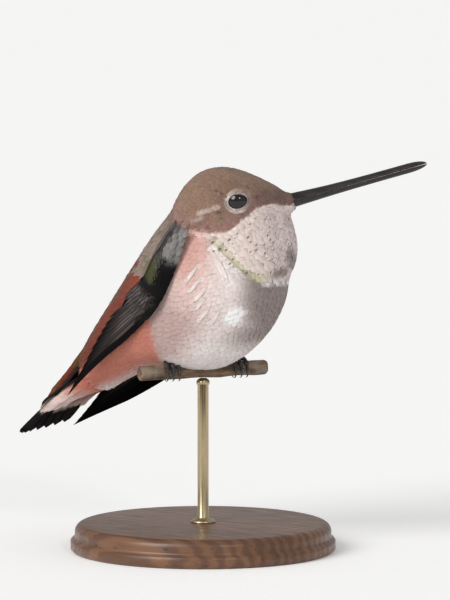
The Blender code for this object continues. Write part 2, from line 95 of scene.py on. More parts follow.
WING_EDGE = (  # x, y and z of the folded left wing's lower edge, from the shoulder to the tip
    (2.8, 8.4, 18.4),
    (-0.6, 9.4, 9.6),
    (-6.2, 8.8, 3.4),
    (-13.0, 7.0, -2.0),
    (-22.4, 3.8, -9.4),
)
HANG = {"right": (0.0, 0.0), "left": (3.4, 3.9)}  # how far the wing's tip and middle sag
OPENING = {"right": 0.0, "left": 1.3}  # how much wider than folded it is at the tip
WING_REACH = {"right": 0.93, "left": 1.0}  # the share of its edge that the longest feather takes
PRIMARIES, SECONDARIES = 10, 6
COVERT_SHARE, SECONDARY_SHARE, PRIMARY_CHORD = 0.30, 0.47, 0.62
CHORD = np.array(  # the share along the wing, and its width there
    ((0.0, 3.8), (0.12, 5.2), (0.3, 6.0), (0.5, 5.6), (0.7, 4.3), (0.85, 2.7), (1.0, 1.0))
)
WING_RUN = 38.0  # the length of the wing's edge
TAIL_ROOT, TAIL_TIP = np.array([-13.6, 0.0, 2.8]), np.array([-29.8, 0.0, -13.6])
TAIL_LENGTH = np.linalg.norm(TAIL_TIP - TAIL_ROOT)
TAIL_SPREAD, TAIL_ROOT_HALF, TAIL_GRADING, TAIL_DOME = math.radians(13), 1.7, 2.8, 0.8
RECTRICES = 10

# The coat
BILL_POLE, TAIL_POLE = HEAD_ROOT, np.array([-27.0, 0.0, -11.0])  # the feathers lie from the one to the other
EYE_OPENING = (1.20, 0.92)  # half the length and half the height of the opening between the lids
EYE_GROUND = 1.72  # radius of the eyeballs as ground for feathers
FEATHER_ACROSS = np.array([0.0, 0.06, 0.2, 0.35, 0.42, 0.7, 1.0])  # the columns of a flight feather
SHAFT = 0.35  # the column that is its shaft
ROOT_TRIALS = 90000  # places tried for roots over the whole skin
BACK_FROM = 0.25  # how dorsal the back begins
BACK_EDGE = (0.22, 0.34)  # between these the colours of the back come in
CLOSEST = 0.86  # how near two roots may be, as a share of their spacing
WING_OVER = 2.6  # how far a wing may stand off and still hide what is under it
PATCH = 0.003  # side of each feather's own patch on the skin's unwrap
COAT_SLOTS = {  # the coat's pieces, by region
    "coat_head_right": "plumage_crown",
    "coat_head_left": "plumage_crown",
    "coat_throat": "plumage_throat",
    "coat_back": "plumage_rufous",
    "coat_belly_right": "plumage_pale",
    "coat_belly_left": "plumage_pale",
}

# The markings: lower edges of the brown cap and of the gorget, and streaks, as x and z in the head's own axes
CAP_EDGE = np.array((
    (-20.0, 4.5), (-18.2, 1.9), (-16.8, 0.4), (-15.7, -0.5), (-13.6, -1.2), (-12.0, -1.7), (-10.7, -1.8),
    (-9.3, -1.35), (-8.1, -0.75), (-6.8, -0.1), (-5.4, 0.45), (-3.7, 0.45), (-0.3, -0.75), (1.0, -1.0),
))
GORGET_EDGE = np.array((
    (-12.8, -3.0), (-11.1, -5.45), (-9.8, -7.45), (-8.7, -9.0), (-7.2, -9.9), (-5.7, -10.2), (-3.7, -10.8),
    (-1.0, -11.3),
))
EYE_STREAKS = (  # both ends, half the width, and the strength
    ((-10.9, 1.8), (-13.6, 1.6), 0.30, 0.75),
    ((-13.4, 0.9), (-14.9, 0.65), 0.22, 0.5),
    ((-15.3, 0.25), (-16.3, -0.05), 0.2, 0.35),
)
# The white plumes below are pale feathers and painted highlights of the flank at once.
HIGHLIGHT_PLUMES = (  # narrow white plumes of the flank: x, y and z of both ends on the right side, and the width
    ((4.5, -8.4, 13.8), (2.6, -8.8, 11.3), 0.42),
    ((5.1, -8.4, 12.1), (3.1, -8.8, 9.9), 0.42),
    ((6.0, -8.2, 10.9), (3.7, -8.6, 8.6), 0.42),
    ((5.8, -8.1, 9.4), (3.9, -8.4, 7.5), 0.40),
    ((6.3, -7.7, 8.3), (4.2, -8.0, 5.9), 0.44),
    ((7.6, -7.1, 8.0), (5.8, -7.2, 5.5), 0.44),
    ((6.2, -7.5, 16.1), (8.6, -7.05, 11.4), 0.82),
)


def unit(v):
    return v / np.maximum(np.linalg.norm(v, axis=-1, keepdims=True), 1e-9)


def square_to(vectors, others):
    """The vectors turned square to these others, all of them of length one."""
    return unit(vectors - others * (vectors * others).sum(-1, keepdims=True))


def smooth(x, low, high):
    """0 below low, 1 above high, and an even ramp between them. With high below low it falls."""
    t = np.clip((x - low) / (high - low), 0, 1)
    return t * t * (3 - 2 * t)


def srgb(*levels):
    """A linear colour from display levels out of 255."""
    c = np.array(levels) / 255
    return np.where(c <= 0.04045, c / 12.92, ((c + 0.055) / 1.055) ** 2.4)


def painted(base, *layers):
    """The base colour under layers of a colour and its share. A tuple is in display levels."""
    base = srgb(*base) if isinstance(base, tuple) else base
    for colour, share in layers:
        colour = srgb(*colour) if isinstance(colour, tuple) else colour
        base = base + (colour - base) * np.asarray(share)[..., None]
    return base


def spline(rows, share):
    """The rows of a Catmull-Rom curve through these ones, at an array of shares of its length."""
    rows, share = np.asarray(rows, float), np.asarray(share, float)
    ends = np.vstack([2 * rows[0] - rows[1], rows, 2 * rows[-1] - rows[-2]])
    i = np.clip((share * (len(rows) - 1)).astype(int), 0, len(rows) - 2)
    t = (share * (len(rows) - 1) - i)[..., None]
    a, b, c, d = (ends[i + k] for k in range(4))
    return 0.5 * (2 * b + (c - a) * t + (2 * a - 5 * b + 4 * c - d) * t**2 + (3 * b - a - 3 * c + d) * t**3)


HEAD_AXES = np.array(Euler((0, -HEAD_TILT, HEAD_TURN)).to_matrix())


def from_head(points):
    """From the head's own axes, +X along the bill from its root, to the bird's."""
    return np.asarray(points) @ HEAD_AXES.T + HEAD_ROOT


def to_head(points):
    return (np.asarray(points) - HEAD_ROOT) @ HEAD_AXES


# ---------------------------------------------------------------- meshes


def new_mesh(name, points, faces, per_point=None, maps=None):
    """A smooth mesh from points in the bird's frame, with colours and UV maps that have a value a point."""
    mesh = bpy.data.meshes.new(name)
    points = (np.asarray(points, float) + [0, 0, LIFT]) * MM
    if isinstance(faces, np.ndarray):
        mesh.vertices.add(len(points))
        mesh.vertices.foreach_set("co", points.ravel())
        mesh.loops.add(faces.size)
        mesh.loops.foreach_set("vertex_index", faces.ravel().astype(np.int32))
        mesh.polygons.add(len(faces))
        mesh.polygons.foreach_set("loop_start", np.arange(0, faces.size, faces.shape[1], dtype=np.int32))
        mesh.update(calc_edges=True)
    else:
        mesh.from_pydata([tuple(p) for p in points], [], faces)
    corners = np.zeros(len(mesh.loops), np.int32)
    mesh.loops.foreach_get("vertex_index", corners)
    for key, colours in (per_point or {}).items():
        colours = np.hstack([colours, np.ones((len(colours), 1))])
        layer = mesh.attributes.new(key, "FLOAT_COLOR", "POINT")
        layer.data.foreach_set("color", colours.astype(np.float32).ravel())
    for key, places in (maps or {}).items():
        layer = mesh.uv_layers.new(name=key)
        layer.data.foreach_set("uv", np.asarray(places, np.float32)[corners].ravel())
    mesh.shade_smooth()
    return mesh


def add_piece(name, mesh, surface, slot, *nodes):
    """Puts the mesh in the scene, on the one body, and in the place of these CAD nodes."""
    piece = bpy.data.objects.new(name, mesh)
    bpy.context.scene.collection.objects.link(piece)
    mesh.materials.append(surface)
    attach(piece, "root")
    if nodes:
        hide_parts(*nodes)


def loft(rings, closed_ends=True):
    """Points and faces of a tube through rings of equally many points."""
    rings = np.asarray(rings, float)
    count, around = rings.shape[:2]
    faces = []
    for i in range(count - 1):
        for k in range(around):
            n = (k + 1) % around
            faces.append((i * around + k, (i + 1) * around + k, (i + 1) * around + n, i * around + n))
    if closed_ends:
        faces += [tuple(range(around)), tuple((count - 1) * around + k for k in reversed(range(around)))]
    return rings.reshape(-1, 3), faces


def ring(centre, across, up, half_across, half_up, around):
    """Points of an ellipse, from its across side up."""
    turns = np.linspace(0, 2 * math.pi, around, endpoint=False)[:, None]
    return centre + across * half_across * np.cos(turns) + up * half_up * np.sin(turns)


def tube(path, radii, around=12):
    """A closed round tube along the path, with a radius for each of its points."""
    path = np.asarray(path, float)
    rings = []
    for i, (point, radius) in enumerate(zip(path, radii)):
        along = unit(path[min(i + 1, len(path) - 1)] - path[max(i - 1, 0)])
        across = unit(np.cross(along, [0.13, -0.21, 1.0]))
        rings.append(ring(point, across, np.cross(across, along), radius, radius, around))
    return loft(rings)


def joined(*parts):
    """Several (points, faces) as one."""
    points, faces = [], []
    for more, more_faces in parts:
        faces += [tuple(len(points) + k for k in face) for face in more_faces]
        points += list(more)
    return np.array(points), faces


def outward(mesh):
    """The mesh, with all of its faces turned to the outside."""
    work = bmesh.new()
    work.from_mesh(mesh)
    bmesh.ops.recalc_face_normals(work, faces=work.faces)
    work.to_mesh(mesh)
    work.free()
    return mesh


def remeshed(name, parts, voxel, rounds):
    """One closed skin round all of the (points, faces), eased that many times."""
    rough = bpy.data.objects.new("rough", outward(new_mesh(name, *joined(*parts))))
    bpy.context.scene.collection.objects.link(rough)
    join = rough.modifiers.new("join", "REMESH")
    join.mode, join.voxel_size = "VOXEL", voxel * MM
    ease = rough.modifiers.new("ease", "SMOOTH")
    ease.factor, ease.iterations = 0.5, rounds
    bpy.context.view_layer.update()
    made = bpy.data.meshes.new_from_object(rough.evaluated_get(bpy.context.evaluated_depsgraph_get()))
    bpy.data.objects.remove(rough)
    return made


def read_mesh(mesh):
    """Points in the bird's frame, their normals, and the faces, of a mesh in metres."""
    points = np.zeros(len(mesh.vertices) * 3)
    mesh.vertices.foreach_get("co", points)
    normals = np.array([v.vector[:] for v in mesh.vertex_normals])
    faces = [tuple(f.vertices) for f in mesh.polygons]
    return points.reshape(-1, 3) / MM - [0, 0, LIFT], normals, faces


def bvh_tree(points, faces):
    return BVHTree.FromPolygons([Vector(p) for p in points], faces)


def kd_tree(points):
    tree = KDTree(len(points))
    for i, point in enumerate(points):
        tree.insert(point, i)
    tree.balance()
    return tree


# ---------------------------------------------------------------- vanes


def vane_faces(rows, cols):
    """The faces of one closed vane, whose upper and under sides share their rim."""
    upper = np.arange(rows * cols).reshape(rows, cols)
    under = upper.copy()
    under[1:-1, 1:-1] = rows * cols + np.arange((rows - 2) * (cols - 2)).reshape(rows - 2, cols - 2)

    def quads(grid):
        corners = grid[:-1, :-1], grid[:-1, 1:], grid[1:, 1:], grid[1:, :-1]
        return np.stack(corners, -1).reshape(-1, 4)

    return np.vstack([quads(upper), quads(under)[:, ::-1]])


class Vanes:
    """Closed feather vanes, gathered into the arrays of one mesh."""

    def __init__(self):
        self.points, self.faces, self.tints, self.marks, self.vane, self.bake = [], [], [], [], [], []
        self.count = 0

    def add(self, grid, normals, thickness, tint, mark, roots, under=1.0):
        """n vanes from their grids (n, rows, cols, 3), each with its patch at its root's place on the unwrap.

        tint is a colour for each vane or each point of the grid, mark is each vane's spot, chance and rim,
        and under is how light the lower sides are, below 1 a painted shade.
        """
        n, rows, cols = grid.shape[:3]
        turned = np.cross(grid[:, 1:, 1:] - grid[:, 1:, :-1], grid[:, 1:, 1:] - grid[:, :-1, 1:])
        flip = (turned * normals[:, 1:, 1:]).sum(axis=(1, 2, 3)) < 0
        down, across = np.meshgrid(np.linspace(0, 1, rows), np.linspace(0, 1, cols), indexing="ij")
        if tint.ndim == 2:
            tint = tint[:, None, None]

        def both(values):
            """The values at every point of the upper side, then at the under side's without its rim."""
            values = np.array(np.broadcast_to(values, (n, rows, cols, values.shape[-1])))
            values[flip] = values[flip, :, ::-1]
            inner = values[:, 1:-1, 1:-1].reshape(n, (rows - 2) * (cols - 2), -1)
            return np.concatenate([values.reshape(n, rows * cols, -1), inner], 1)

        points, normals, tint, vane = (both(v) for v in (grid, normals, tint, np.stack([across, down], -1)))
        size = points.shape[1]
        lower = np.arange(size) >= rows * cols
        points += normals * (0.5 * thickness) * np.where(lower, -1.0, 1.0)[:, None]
        # lower sides darkened by under: painted shade
        tint[:, lower] *= under
        self.points.append(points.reshape(-1, 3))
        faces = vane_faces(rows, cols) + (self.count + size * np.arange(n))[:, None, None]
        self.faces.append(faces.reshape(-1, 4))
        self.tints.append(tint.reshape(-1, 3))
        self.marks.append(np.repeat(mark, size, axis=0))
        self.vane.append(vane.reshape(-1, 2))
        self.bake.append((unwrap(roots)[:, None] + (vane - 0.5) * PATCH).reshape(-1, 2))
        self.count += n * size

    def add_one(self, grid, normal, thickness, tint, root, under=1.0):
        """One long feather, from its grid (rows, cols, 3)."""
        mark = np.array([[0.0, rng.random(), 0.0]])
        normals = np.broadcast_to(normal, grid.shape)[None]
        self.add(grid[None], normals, thickness, tint[None], mark, root[None], under)

    def mesh(self, name):
        colours = {"tint": np.vstack(self.tints), "mark": np.vstack(self.marks)}
        maps = {"OFBake": np.vstack(self.bake), "vane": np.vstack(self.vane)}
        mesh = new_mesh(name, np.vstack(self.points), np.vstack(self.faces), colours, maps)
        mesh.set_sharp_from_angle(angle=math.radians(80))  # the rims
        return mesh


def unwrap(points):
    """Each point's place on the skin's unwrap: round the line from bill to tail, and along it."""
    axis = unit(TAIL_POLE - BILL_POLE)
    up = unit(np.cross(axis, ACROSS))
    reach = points - BILL_POLE
    turn = np.arctan2(reach @ np.cross(axis, up), -(reach @ up)) / (2 * math.pi) + 0.5
    to_bill, to_tail = (np.linalg.norm(points - pole, axis=-1) for pole in (BILL_POLE, TAIL_POLE))
    return np.stack([0.02 + 0.96 * turn, 0.02 + 0.96 * to_bill / (to_bill + to_tail)], -1)


# ---------------------------------------------------------------- the wings' and the tail's own surfaces


def wing_point(side, share, along, out=0.0):
    """Points of the folded wing's middle surface, or at a distance out from it."""
    share, along, out = np.broadcast_arrays(*(np.asarray(v, float) for v in (share, along, out)))
    tip_hang, middle_hang = HANG[side]
    drop = tip_hang * along**2 + middle_hang * np.sin(math.pi * np.clip(along, 0, 1) ** 1.6)
    lower = spline(WING_EDGE, along) - np.stack([0.45 * tip_hang * along**2, 0 * along, drop], -1)
    run = spline(WING_EDGE, along + 0.02) - spline(WING_EDGE, along - 0.02)
    up = unit(np.cross([0.0, 1.0, 0.0], run))
    up = up * np.where(up[..., 2:] > 0, 1, -1)
    width = np.interp(along, CHORD[:, 0], CHORD[:, 1]) * (1 + OPENING[side] * along**2)
    tuck = -0.45 * np.maximum(0, share) ** 1.5 * (1 - 0.55 * along)
    camber = 0.10 * width * np.sin(math.pi * np.minimum(1, share))
    point = lower + up * (width * share)[..., None]
    point[..., 1] += tuck * width + camber + out
    if side == "right":
        point[..., 1] *= -1
    return point


def wing_outward(side):
    return -ACROSS if side == "right" else ACROSS


def trimmed(share, along):
    """Shares of the chord, drawn in where the folded wing's upper edge dips behind the shoulder."""
    return share * (1 - 0.24 * np.exp(-(((along - 0.27) / 0.13) ** 2)))


def arm_profile(along):
    """Half the thickness of the shoulder under the coverts, and how full its outline is."""
    t = np.clip(along / COVERT_SHARE, 0, 1)
    full = np.sqrt(np.maximum(0, 1 - (1 - t) ** 2.4)) * 0.9 + 0.1
    return (0.5 + 0.75 * np.sin(math.pi * np.minimum(1, t + 0.12))) * full, full


def tail_point(share, reach, rise=0.0):
    """Points of the tail's fan, and its upward way: share from -1 to 1 across it, reach from its root."""
    along = unit(TAIL_TIP - TAIL_ROOT)
    upward = np.array([-along[2], 0.0, along[0]])
    upward = upward * np.sign(upward[2])
    share, reach, rise = np.broadcast_arrays(*(np.asarray(v, float) for v in (share, reach, rise)))
    turn = TAIL_SPREAD * share
    dome = TAIL_DOME * (1 - share**2) * reach / TAIL_LENGTH + rise
    point = TAIL_ROOT + along * (np.cos(turn) * reach)[..., None] + upward * dome[..., None]
    point[..., 1] += TAIL_ROOT_HALF * share + np.sin(turn) * reach
    return point, upward


def crowned(across, height):
    """How far a flight feather's columns stand up, with a ridge for the shaft."""
    return height * (1 - ((across - SHAFT) / 0.65) ** 2) + 0.05 * (across == SHAFT)


def wing_feathers(side):
    """The primaries and secondaries of one wing, from the lowest layer up."""
    vanes = Vanes()
    done, across = np.meshgrid(np.linspace(0, 1, 30), FEATHER_ACROSS, indexing="ij")
    rounded = np.sqrt(np.maximum(0, 1 - done**8)) * 0.97 + 0.03
    start, layer = COVERT_SHARE - 0.08, -0.22
    sets = {  # how many, the chord's shares at roots and tips, the width in feathers, the layers' step
        "primary": (PRIMARIES, 0.0, PRIMARY_CHORD, 0.45, 0.97, 4.6, 0.055),
        "secondary": (SECONDARIES, PRIMARY_CHORD + 0.06, 0.97, 0.74, 0.88, 4.0, 0.045),
    }
    for kind, (count, low, high, tip_low, tip_high, wide, step) in sets.items():
        for i in range(count):
            if kind == "primary":
                shorter = 0.38 if side == "right" else 0.22
                tip = (1.0 - shorter * (i / (PRIMARIES - 1)) ** 1.1) * WING_REACH[side]
            else:
                tip = (SECONDARY_SHARE - 0.05 * i / (SECONDARIES - 1)) * WING_REACH[side] + 0.03
            inwards = np.minimum((i + (SHAFT + (across - SHAFT) * rounded) * wide - 0.1) / count, 1.08)
            share = low + (high - low) * inwards
            tip_share = tip_low + (tip_high - tip_low) * np.maximum(inwards, 0) ** 0.6
            share = share + (tip_share - share) * done**2.2
            along = start + (tip - start) * done
            grid = wing_point(side, trimmed(share, along), along, layer + crowned(across, 0.07))
            root = wing_point(side, np.mean(share), start + 0.1 * i / count)
            # the wings' lower sides at 0.35: painted shade, which darkens the far wing
            vanes.add_one(grid, wing_outward(side), 0.07, flight_tint(kind, i, done, across), root, 0.35)
            layer += step
    return vanes


def flight_tint(kind, i, done, across):
    """Dusky, with a mauve-grey stretch along the inner feathers that is a painted sheen, and black ones along
    the lower edge.
    """
    black = srgb(22, 20, 20)
    outer = smooth(i + 2.0 * done, 4.0, 2.4) if kind == "primary" else 0 * done
    shade = painted((56, 50, 49), (black, outer))
    shade = painted(shade, (black, np.maximum(smooth(done, 0.22, 0.12), smooth(done, 0.7, 0.95))))
    inner = i > 1 if kind == "primary" else i < 5
    strength = (0.95, 0.35, 0.75, 0.2, 0.85)[i % 5] * inner
    streak = smooth(across, 0.0, 0.05) * smooth(across, 0.34, 0.2)
    ends = smooth(done, 0.2, 0.3) * smooth(done, 0.78 - 0.05 * (i % 3), 0.5)
    # the mauve-grey stretch: painted sheen
    return painted(shade, ((102, 94, 92), strength * streak * ends))


def tail_feathers():
    """The tail's long feathers, from the outermost and lowest in. Their narrow side is the outer one."""
    vanes = Vanes()
    done, across = np.meshgrid(np.linspace(0, 1, 26), FEATHER_ACROSS, indexing="ij")
    taper = np.sqrt(np.maximum(0, 1 - done**9)) * 0.95 + 0.05
    for k in sorted(range(RECTRICES), key=lambda k: -abs(k - (RECTRICES - 1) / 2)):
        middle = ((k + 0.5) / RECTRICES - 0.5) * 2
        outer, hand = abs(middle), 1 if middle > 0 else -1
        share = middle - hand * (across - SHAFT) * 0.50 * taper * (0.5 + 0.5 * smooth(done, 0, 0.4))
        layer = 0.32 - 0.13 * abs(k - (RECTRICES - 1) / 2)
        length = TAIL_LENGTH - TAIL_GRADING * outer**1.6
        grid, upward = tail_point(share, length * done, layer + crowned(across, 0.10))
        vanes.add_one(grid, upward, 0.08, tail_tint(outer, done, across), tail_point(middle, 3.0)[0])
    return vanes


def tail_tint(outer, done, across):
    """Rufous at the root, then a pinkish white stretch on the outer feathers, and black ends."""
    black = srgb(24, 21, 21)
    tint = painted((122, 62, 44), (black, smooth(done, 0.42, 0.5)))
    if outer > 0.3:
        stretch = smooth(done + 0.05 * np.cos(across * 5), 0.44, 0.5) * smooth(done, 0.84, 0.76)
        tint = painted(tint, ((214, 192, 188), stretch * smooth(outer, 0.3, 0.5)))
    if outer > 0.8:
        tint = painted(tint, (black, smooth(across, 0.62, 0.5)))
    return tint


def tail_coverts():
    """Long soft feathers that run the body out into the tail: rufous above, orange to pinkish white below."""
    shares, starts, faces, tints = [], [], [], []
    for layer in range(7):
        for k in range(8 - layer % 2):
            for face in (1, -1) if layer < 6 else (-1,):
                shares.append((k / (7 - layer % 2) * 2 - 1) * 0.97)
                starts.append((9.6 if face > 0 else 11.6) - 1.15 * layer + rng.uniform(-0.3, 0.3))
                faces.append(face)
                if face > 0:
                    tint = srgb(92, 72, 38) if rng.random() < 0.22 else srgb(114, 49, 32)
                else:
                    tint = painted((214, 132, 112), ((242, 218, 210), smooth(layer, 5.5, 1.5)))
                tints.append(tint * rng.uniform(0.94, 1.05))
    shares, starts, faces = (np.array(v)[:, None] for v in (shares, starts, faces))
    length, width, done = 5.0, 1.9, np.linspace(0, 1, 9)
    reach = starts + done * length
    above = np.interp(reach, (2.7, 5.8, 8.8, 11.0, 14.0, 16.0), (3.3, 2.7, 1.95, 1.25, 0.6, 0.45))
    below = np.interp(reach, (3.3, 8.5, 11.0, 14.0, 17.0), (5.2, 3.7, 2.5, 1.2, 0.5))
    rise = faces * (np.where(faces > 0, above, below) * np.sqrt(1 - 0.86 * shares**2) + 0.2 * done - 0.12)
    middle, upward = tail_point(shares, reach, rise)
    ways = unit(np.gradient(middle, axis=1))
    level = faces * np.sqrt(1 - 0.8 * shares**2)
    normals = square_to(unit(upward * level[..., None] + ACROSS * shares[..., None]), ways)
    flat = np.zeros(len(shares))
    sizes = flat + length, flat + width, (flat, flat)
    grid, up = feather_grid(middle, normals, ways, *sizes, soft_shape, 0.10, 3.5)
    marks = np.stack([flat, rng.random(len(shares)), faces[:, 0] > 0], -1)
    # A black line along the tail's sides, where the upper and lower ones meet
    beyond = np.abs(grid[..., 1]) - np.abs(middle[..., 1])[:, :, None]
    higher = ((grid - middle[:, :, None]) * upward).sum(-1)
    edge = np.where(faces[..., None] > 0, smooth(beyond, -0.15, 0.25), smooth(higher, 0.2, 0.5))
    edge = edge * (np.abs(shares) > 0.9)[..., None]
    tints = painted(np.array(tints)[:, None, None], ((34, 29, 28), edge))
    vanes = Vanes()
    vanes.add(grid, up, 0.05, tints, marks, middle[:, 0])
    return vanes


# ---------------------------------------------------------------- markings


def trunk_place(points):
    """How far forward along the trunk a point lies, and how dorsal it is, from -1 to 1."""
    forward = 0.5 * points[..., 0] + 0.87 * points[..., 2]
    stations = (-13.0, -5.4, 0.6, 9.6, 18.3)
    middle_x = np.interp(forward, stations, (-19.0, -12.4, -5.2, 1.1, 3.8))
    middle_z = np.interp(forward, stations, (-4.0, 0.8, 3.7, 10.4, 18.8))
    half = np.interp(forward, stations, (3.0, 6.0, 10.0, 11.6, 9.1))
    dorsal = (-0.9 * (points[..., 0] - middle_x) + 0.42 * (points[..., 2] - middle_z)) / half
    return forward, dorsal


def segment_distance(x, z, start, end):
    """How far from a straight stretch, seen from the side."""
    start, run = np.array(start), np.array(end) - np.array(start)
    t = np.clip(((x - start[0]) * run[0] + (z - start[1]) * run[1]) / (run @ run), 0, 1)
    return np.hypot(x - start[0] - run[0] * t, z - start[1] - run[1] * t)


def zones(points):
    """The shares of the cap and the gorget at each point, and how far it lies over the edge of either."""
    head = to_head(points)
    x, z = head[..., 0], head[..., 2]
    over_cap = z - np.interp(x, CAP_EDGE[:, 0], CAP_EDGE[:, 1])
    over_gorget = z - np.interp(x, GORGET_EDGE[:, 0], GORGET_EDGE[:, 1])
    cap = smooth(over_cap, -0.12, 0.12)
    gorget = smooth(over_gorget, -0.1, 0.1) * (1 - cap) * smooth(x, -13.4, -12.2)
    return cap, gorget, over_cap, over_gorget


def plumage_tint(points, chance=0.5):
    """The colour of the plumage at points of the body. chance, from 0 to 1, picks the odd feathers out."""
    forward, dorsal = trunk_place(points)
    cap, gorget, over_cap, over_gorget = zones(points)
    head = to_head(points)
    x, z, aside = head[..., 0], head[..., 2], np.abs(points[..., 1])

    # Breast and belly, salmon near the wing, and orange behind the legs, with painted shade, painted light
    # and a painted highlight where marked
    # a white patch on the breast's side: a painted highlight
    white = segment_distance(points[..., 0], points[..., 2], (8.3, 6.1), (9.2, 7.3))
    behind = smooth(points[..., 0], -2.6, -4.2) * smooth(forward, 6.0, 3.0)
    # the orange is paler towards the rear: painted light where the wing's shadow falls
    orange = painted((194, 121, 103), ((210, 132, 113), smooth(forward, 1.0, -4.0)))
    tint = painted(
        (234, 221, 217),
        ((228, 202, 195), smooth(dorsal, -0.75, -0.2)),
        ((216, 168, 157), smooth(dorsal, -0.45, -0.05) * smooth(forward, 8.0, 14.0)),
        # darker mauve on the belly's sides under the wing: painted shade of the wing
        ((184, 154, 149), smooth(dorsal, -0.74, -0.35) * smooth(forward, 11.0, 5.0) * 0.85),
        ((236, 216, 212), smooth(forward, 16.5, 19.0) * smooth(dorsal, 0.25, -0.1)),
        # grey-mauve down the breast's front: painted shade
        ((140, 124, 120), smooth(dorsal, -0.72, -0.98) * smooth(forward, 4.0, 9.0) * 0.9),
        # paler along the bottom of the belly: painted light where the belly lies in shade
        ((250, 241, 238), smooth(dorsal, -0.6, -0.85) * smooth(forward, 7.0, 3.0)),
        # the white patch: painted highlight
        ((255, 253, 252), smooth(white, 1.0, 0.55) * (aside > 3)),
        (orange, behind * smooth(dorsal, -1.0, -0.55)),
    )
    # whiter coat under each plume: painted highlights along the flank
    for start, end, width in HIGHLIGHT_PLUMES:
        away = segment_distance(points[..., 0], points[..., 2], start[::2], end[::2])
        near = smooth(away, width, 0.25 * width) * smooth(aside, 4.0, 5.5)
        tint = painted(tint, ((248, 240, 237), near * (0.95 if width > 0.45 else 0.55)))

    # The back: a mauve-brown mantle, then rufous with olive flecks, darker at the rump's end as painted shade
    mantle = painted((146, 126, 118), ((112, 104, 82), smooth(chance, 0.5, 1.0) * 0.85))
    back = painted(
        (118, 50, 32),
        ((94, 74, 38), smooth(chance, 0.66, 1.0) * 0.7),
        ((156, 64, 40), smooth(forward, 1.0, 5.0) * smooth(dorsal, 0.75, 0.45)),
        # darker towards the rump's end: painted shade
        ((98, 40, 25), smooth(forward, -4.0, -12.0) * 0.8),
        (mantle, smooth(forward + 3.0 * (chance - 0.5), 6.3, 7.5)),
    )

    # The gorget, with an olive lower edge, a white line under it and a grey patch at the front
    olive_line = smooth(np.abs(over_gorget - 0.3), 0.3, 0.08) * smooth(x, -7.5, -9.5)
    under, front = np.hypot((x + 4.5) / 1.3, (z + 9.3) / 0.75), np.hypot((x + 2.5) / 0.8, (z + 7.9) / 1.7)
    throat = painted(
        (234, 217, 208),
        ((230, 212, 208), smooth(x, -9.0, -3.0)),
        ((202, 199, 162), smooth(over_gorget, 1.6, 0.6) * smooth(x, -5.0, -8.0) * 0.95),
        ((112, 114, 76), olive_line * 0.8),
        ((136, 124, 120), smooth(np.minimum(under, front), 1.15, 0.75) * 0.8),
    )
    white_line = smooth(over_gorget, -0.8, -0.25) * smooth(x, -8.0, -6.0) * smooth(x, 1, -1)

    # The cap, redder on the cheek, smoky between eye and bill, with pale streaks behind the eye
    lores = smooth(segment_distance(x, z, (-6.4, 2.2), (1.5, -0.1)), 2.1, 0.4) * smooth(x, -7.2, -4.0)
    brown = painted(
        (146, 118, 101),
        ((150, 117, 108), smooth(over_cap, 3.2, 0.6)),
        ((118, 110, 80), (chance > 0.95) * 0.4),
        ((108, 84, 72), (chance < 0.03) * 0.7),
        ((78, 67, 63), lores * 0.5),
    )
    for start, end, half, strength in EYE_STREAKS:
        near = smooth(segment_distance(x, z, start, end), half * 1.5, half * 0.6)
        brown = painted(brown, ((205, 184, 176), near * strength))
    round_eye = np.hypot(x - EYE_CENTRE[0], (z - EYE_CENTRE[2]) * 1.1)
    ringed = smooth(round_eye, 2.0, 1.7) * smooth(np.abs(head[..., 1]), 2.0, 3.2)
    low = smooth(-(x - EYE_CENTRE[0]) - 0.8 * (z - EYE_CENTRE[2]), -1.2, 1.0)
    brown = painted(brown, ((226, 212, 206), ringed * (0.35 + 0.6 * low)))

    layers = (back, smooth(dorsal, *BACK_EDGE)), ((246, 240, 238), white_line), (throat, gorget), (brown, cap)
    return painted(tint, *layers)


# ---------------------------------------------------------------- skin and coat


def flesh():
    """The same closed body as the solids have, before they are parted."""
    rings = []
    for back_x, back_z, breast_x, breast_z, half_width in spline(TRUNK, np.linspace(0, 1, 26)):
        back, breast = np.array([back_x, 0, back_z]), np.array([breast_x, 0, breast_z])
        half = (breast - back) / 2
        rings.append(ring(back + half, ACROSS, unit(half), half_width, np.linalg.norm(half), 40))
    head, throat = [], []
    for back, height, *halves in spline(HEAD, np.linspace(0, 1, 22)):
        head.append(from_head(ring(np.array([-back, 0, height]), ACROSS, UP, *halves, 40)))
    for k in range(12):
        turn = math.pi * (k + 0.35) / 11.7
        at = THROAT - [THROAT_RADII[0] * math.cos(turn), 0, 0]
        throat.append(from_head(ring(at, ACROSS, UP, *THROAT_RADII[1:] * math.sin(turn), 40)))
    return remeshed("flesh", [loft(rings), loft(head), loft(throat)], 0.45, 8)


def round_perch(foot, degrees, radius, shift=0.0):
    """A point on a circle round the perch, forwards from its top, and shifted from the foot's middle."""
    turn = math.radians(degrees)
    middle = foot + PERCH_AXIS * shift + [0, 0, PERCH_AXLE]
    return middle + PERCH_FRONT * (math.sin(turn) * radius) + [0, 0, math.cos(turn) * radius]


def leg_path(sign):
    """The leg's middle line, from the ankle up into the belly."""
    ankle = round_perch(PERCH_AXIS * sign * FOOT_APART, ANKLE_AT, PERCH_RADIUS + GAP + TOE_RADIUS + 0.1)
    up = unit(np.array([-0.30, 0, 1.0]) - PERCH_FRONT * 0.18)
    return ankle, [ankle + up * reach for reach in np.linspace(0.2, 6.0, 10)]


def coat_depth(points):
    """How thick the coat is over the skin."""
    from_bill = np.linalg.norm(to_head(points), axis=-1)
    return 0.10 + 0.16 * smooth(from_bill, 2.0, 9.0) + 0.16 * smooth(from_bill, 10.0, 18.0)


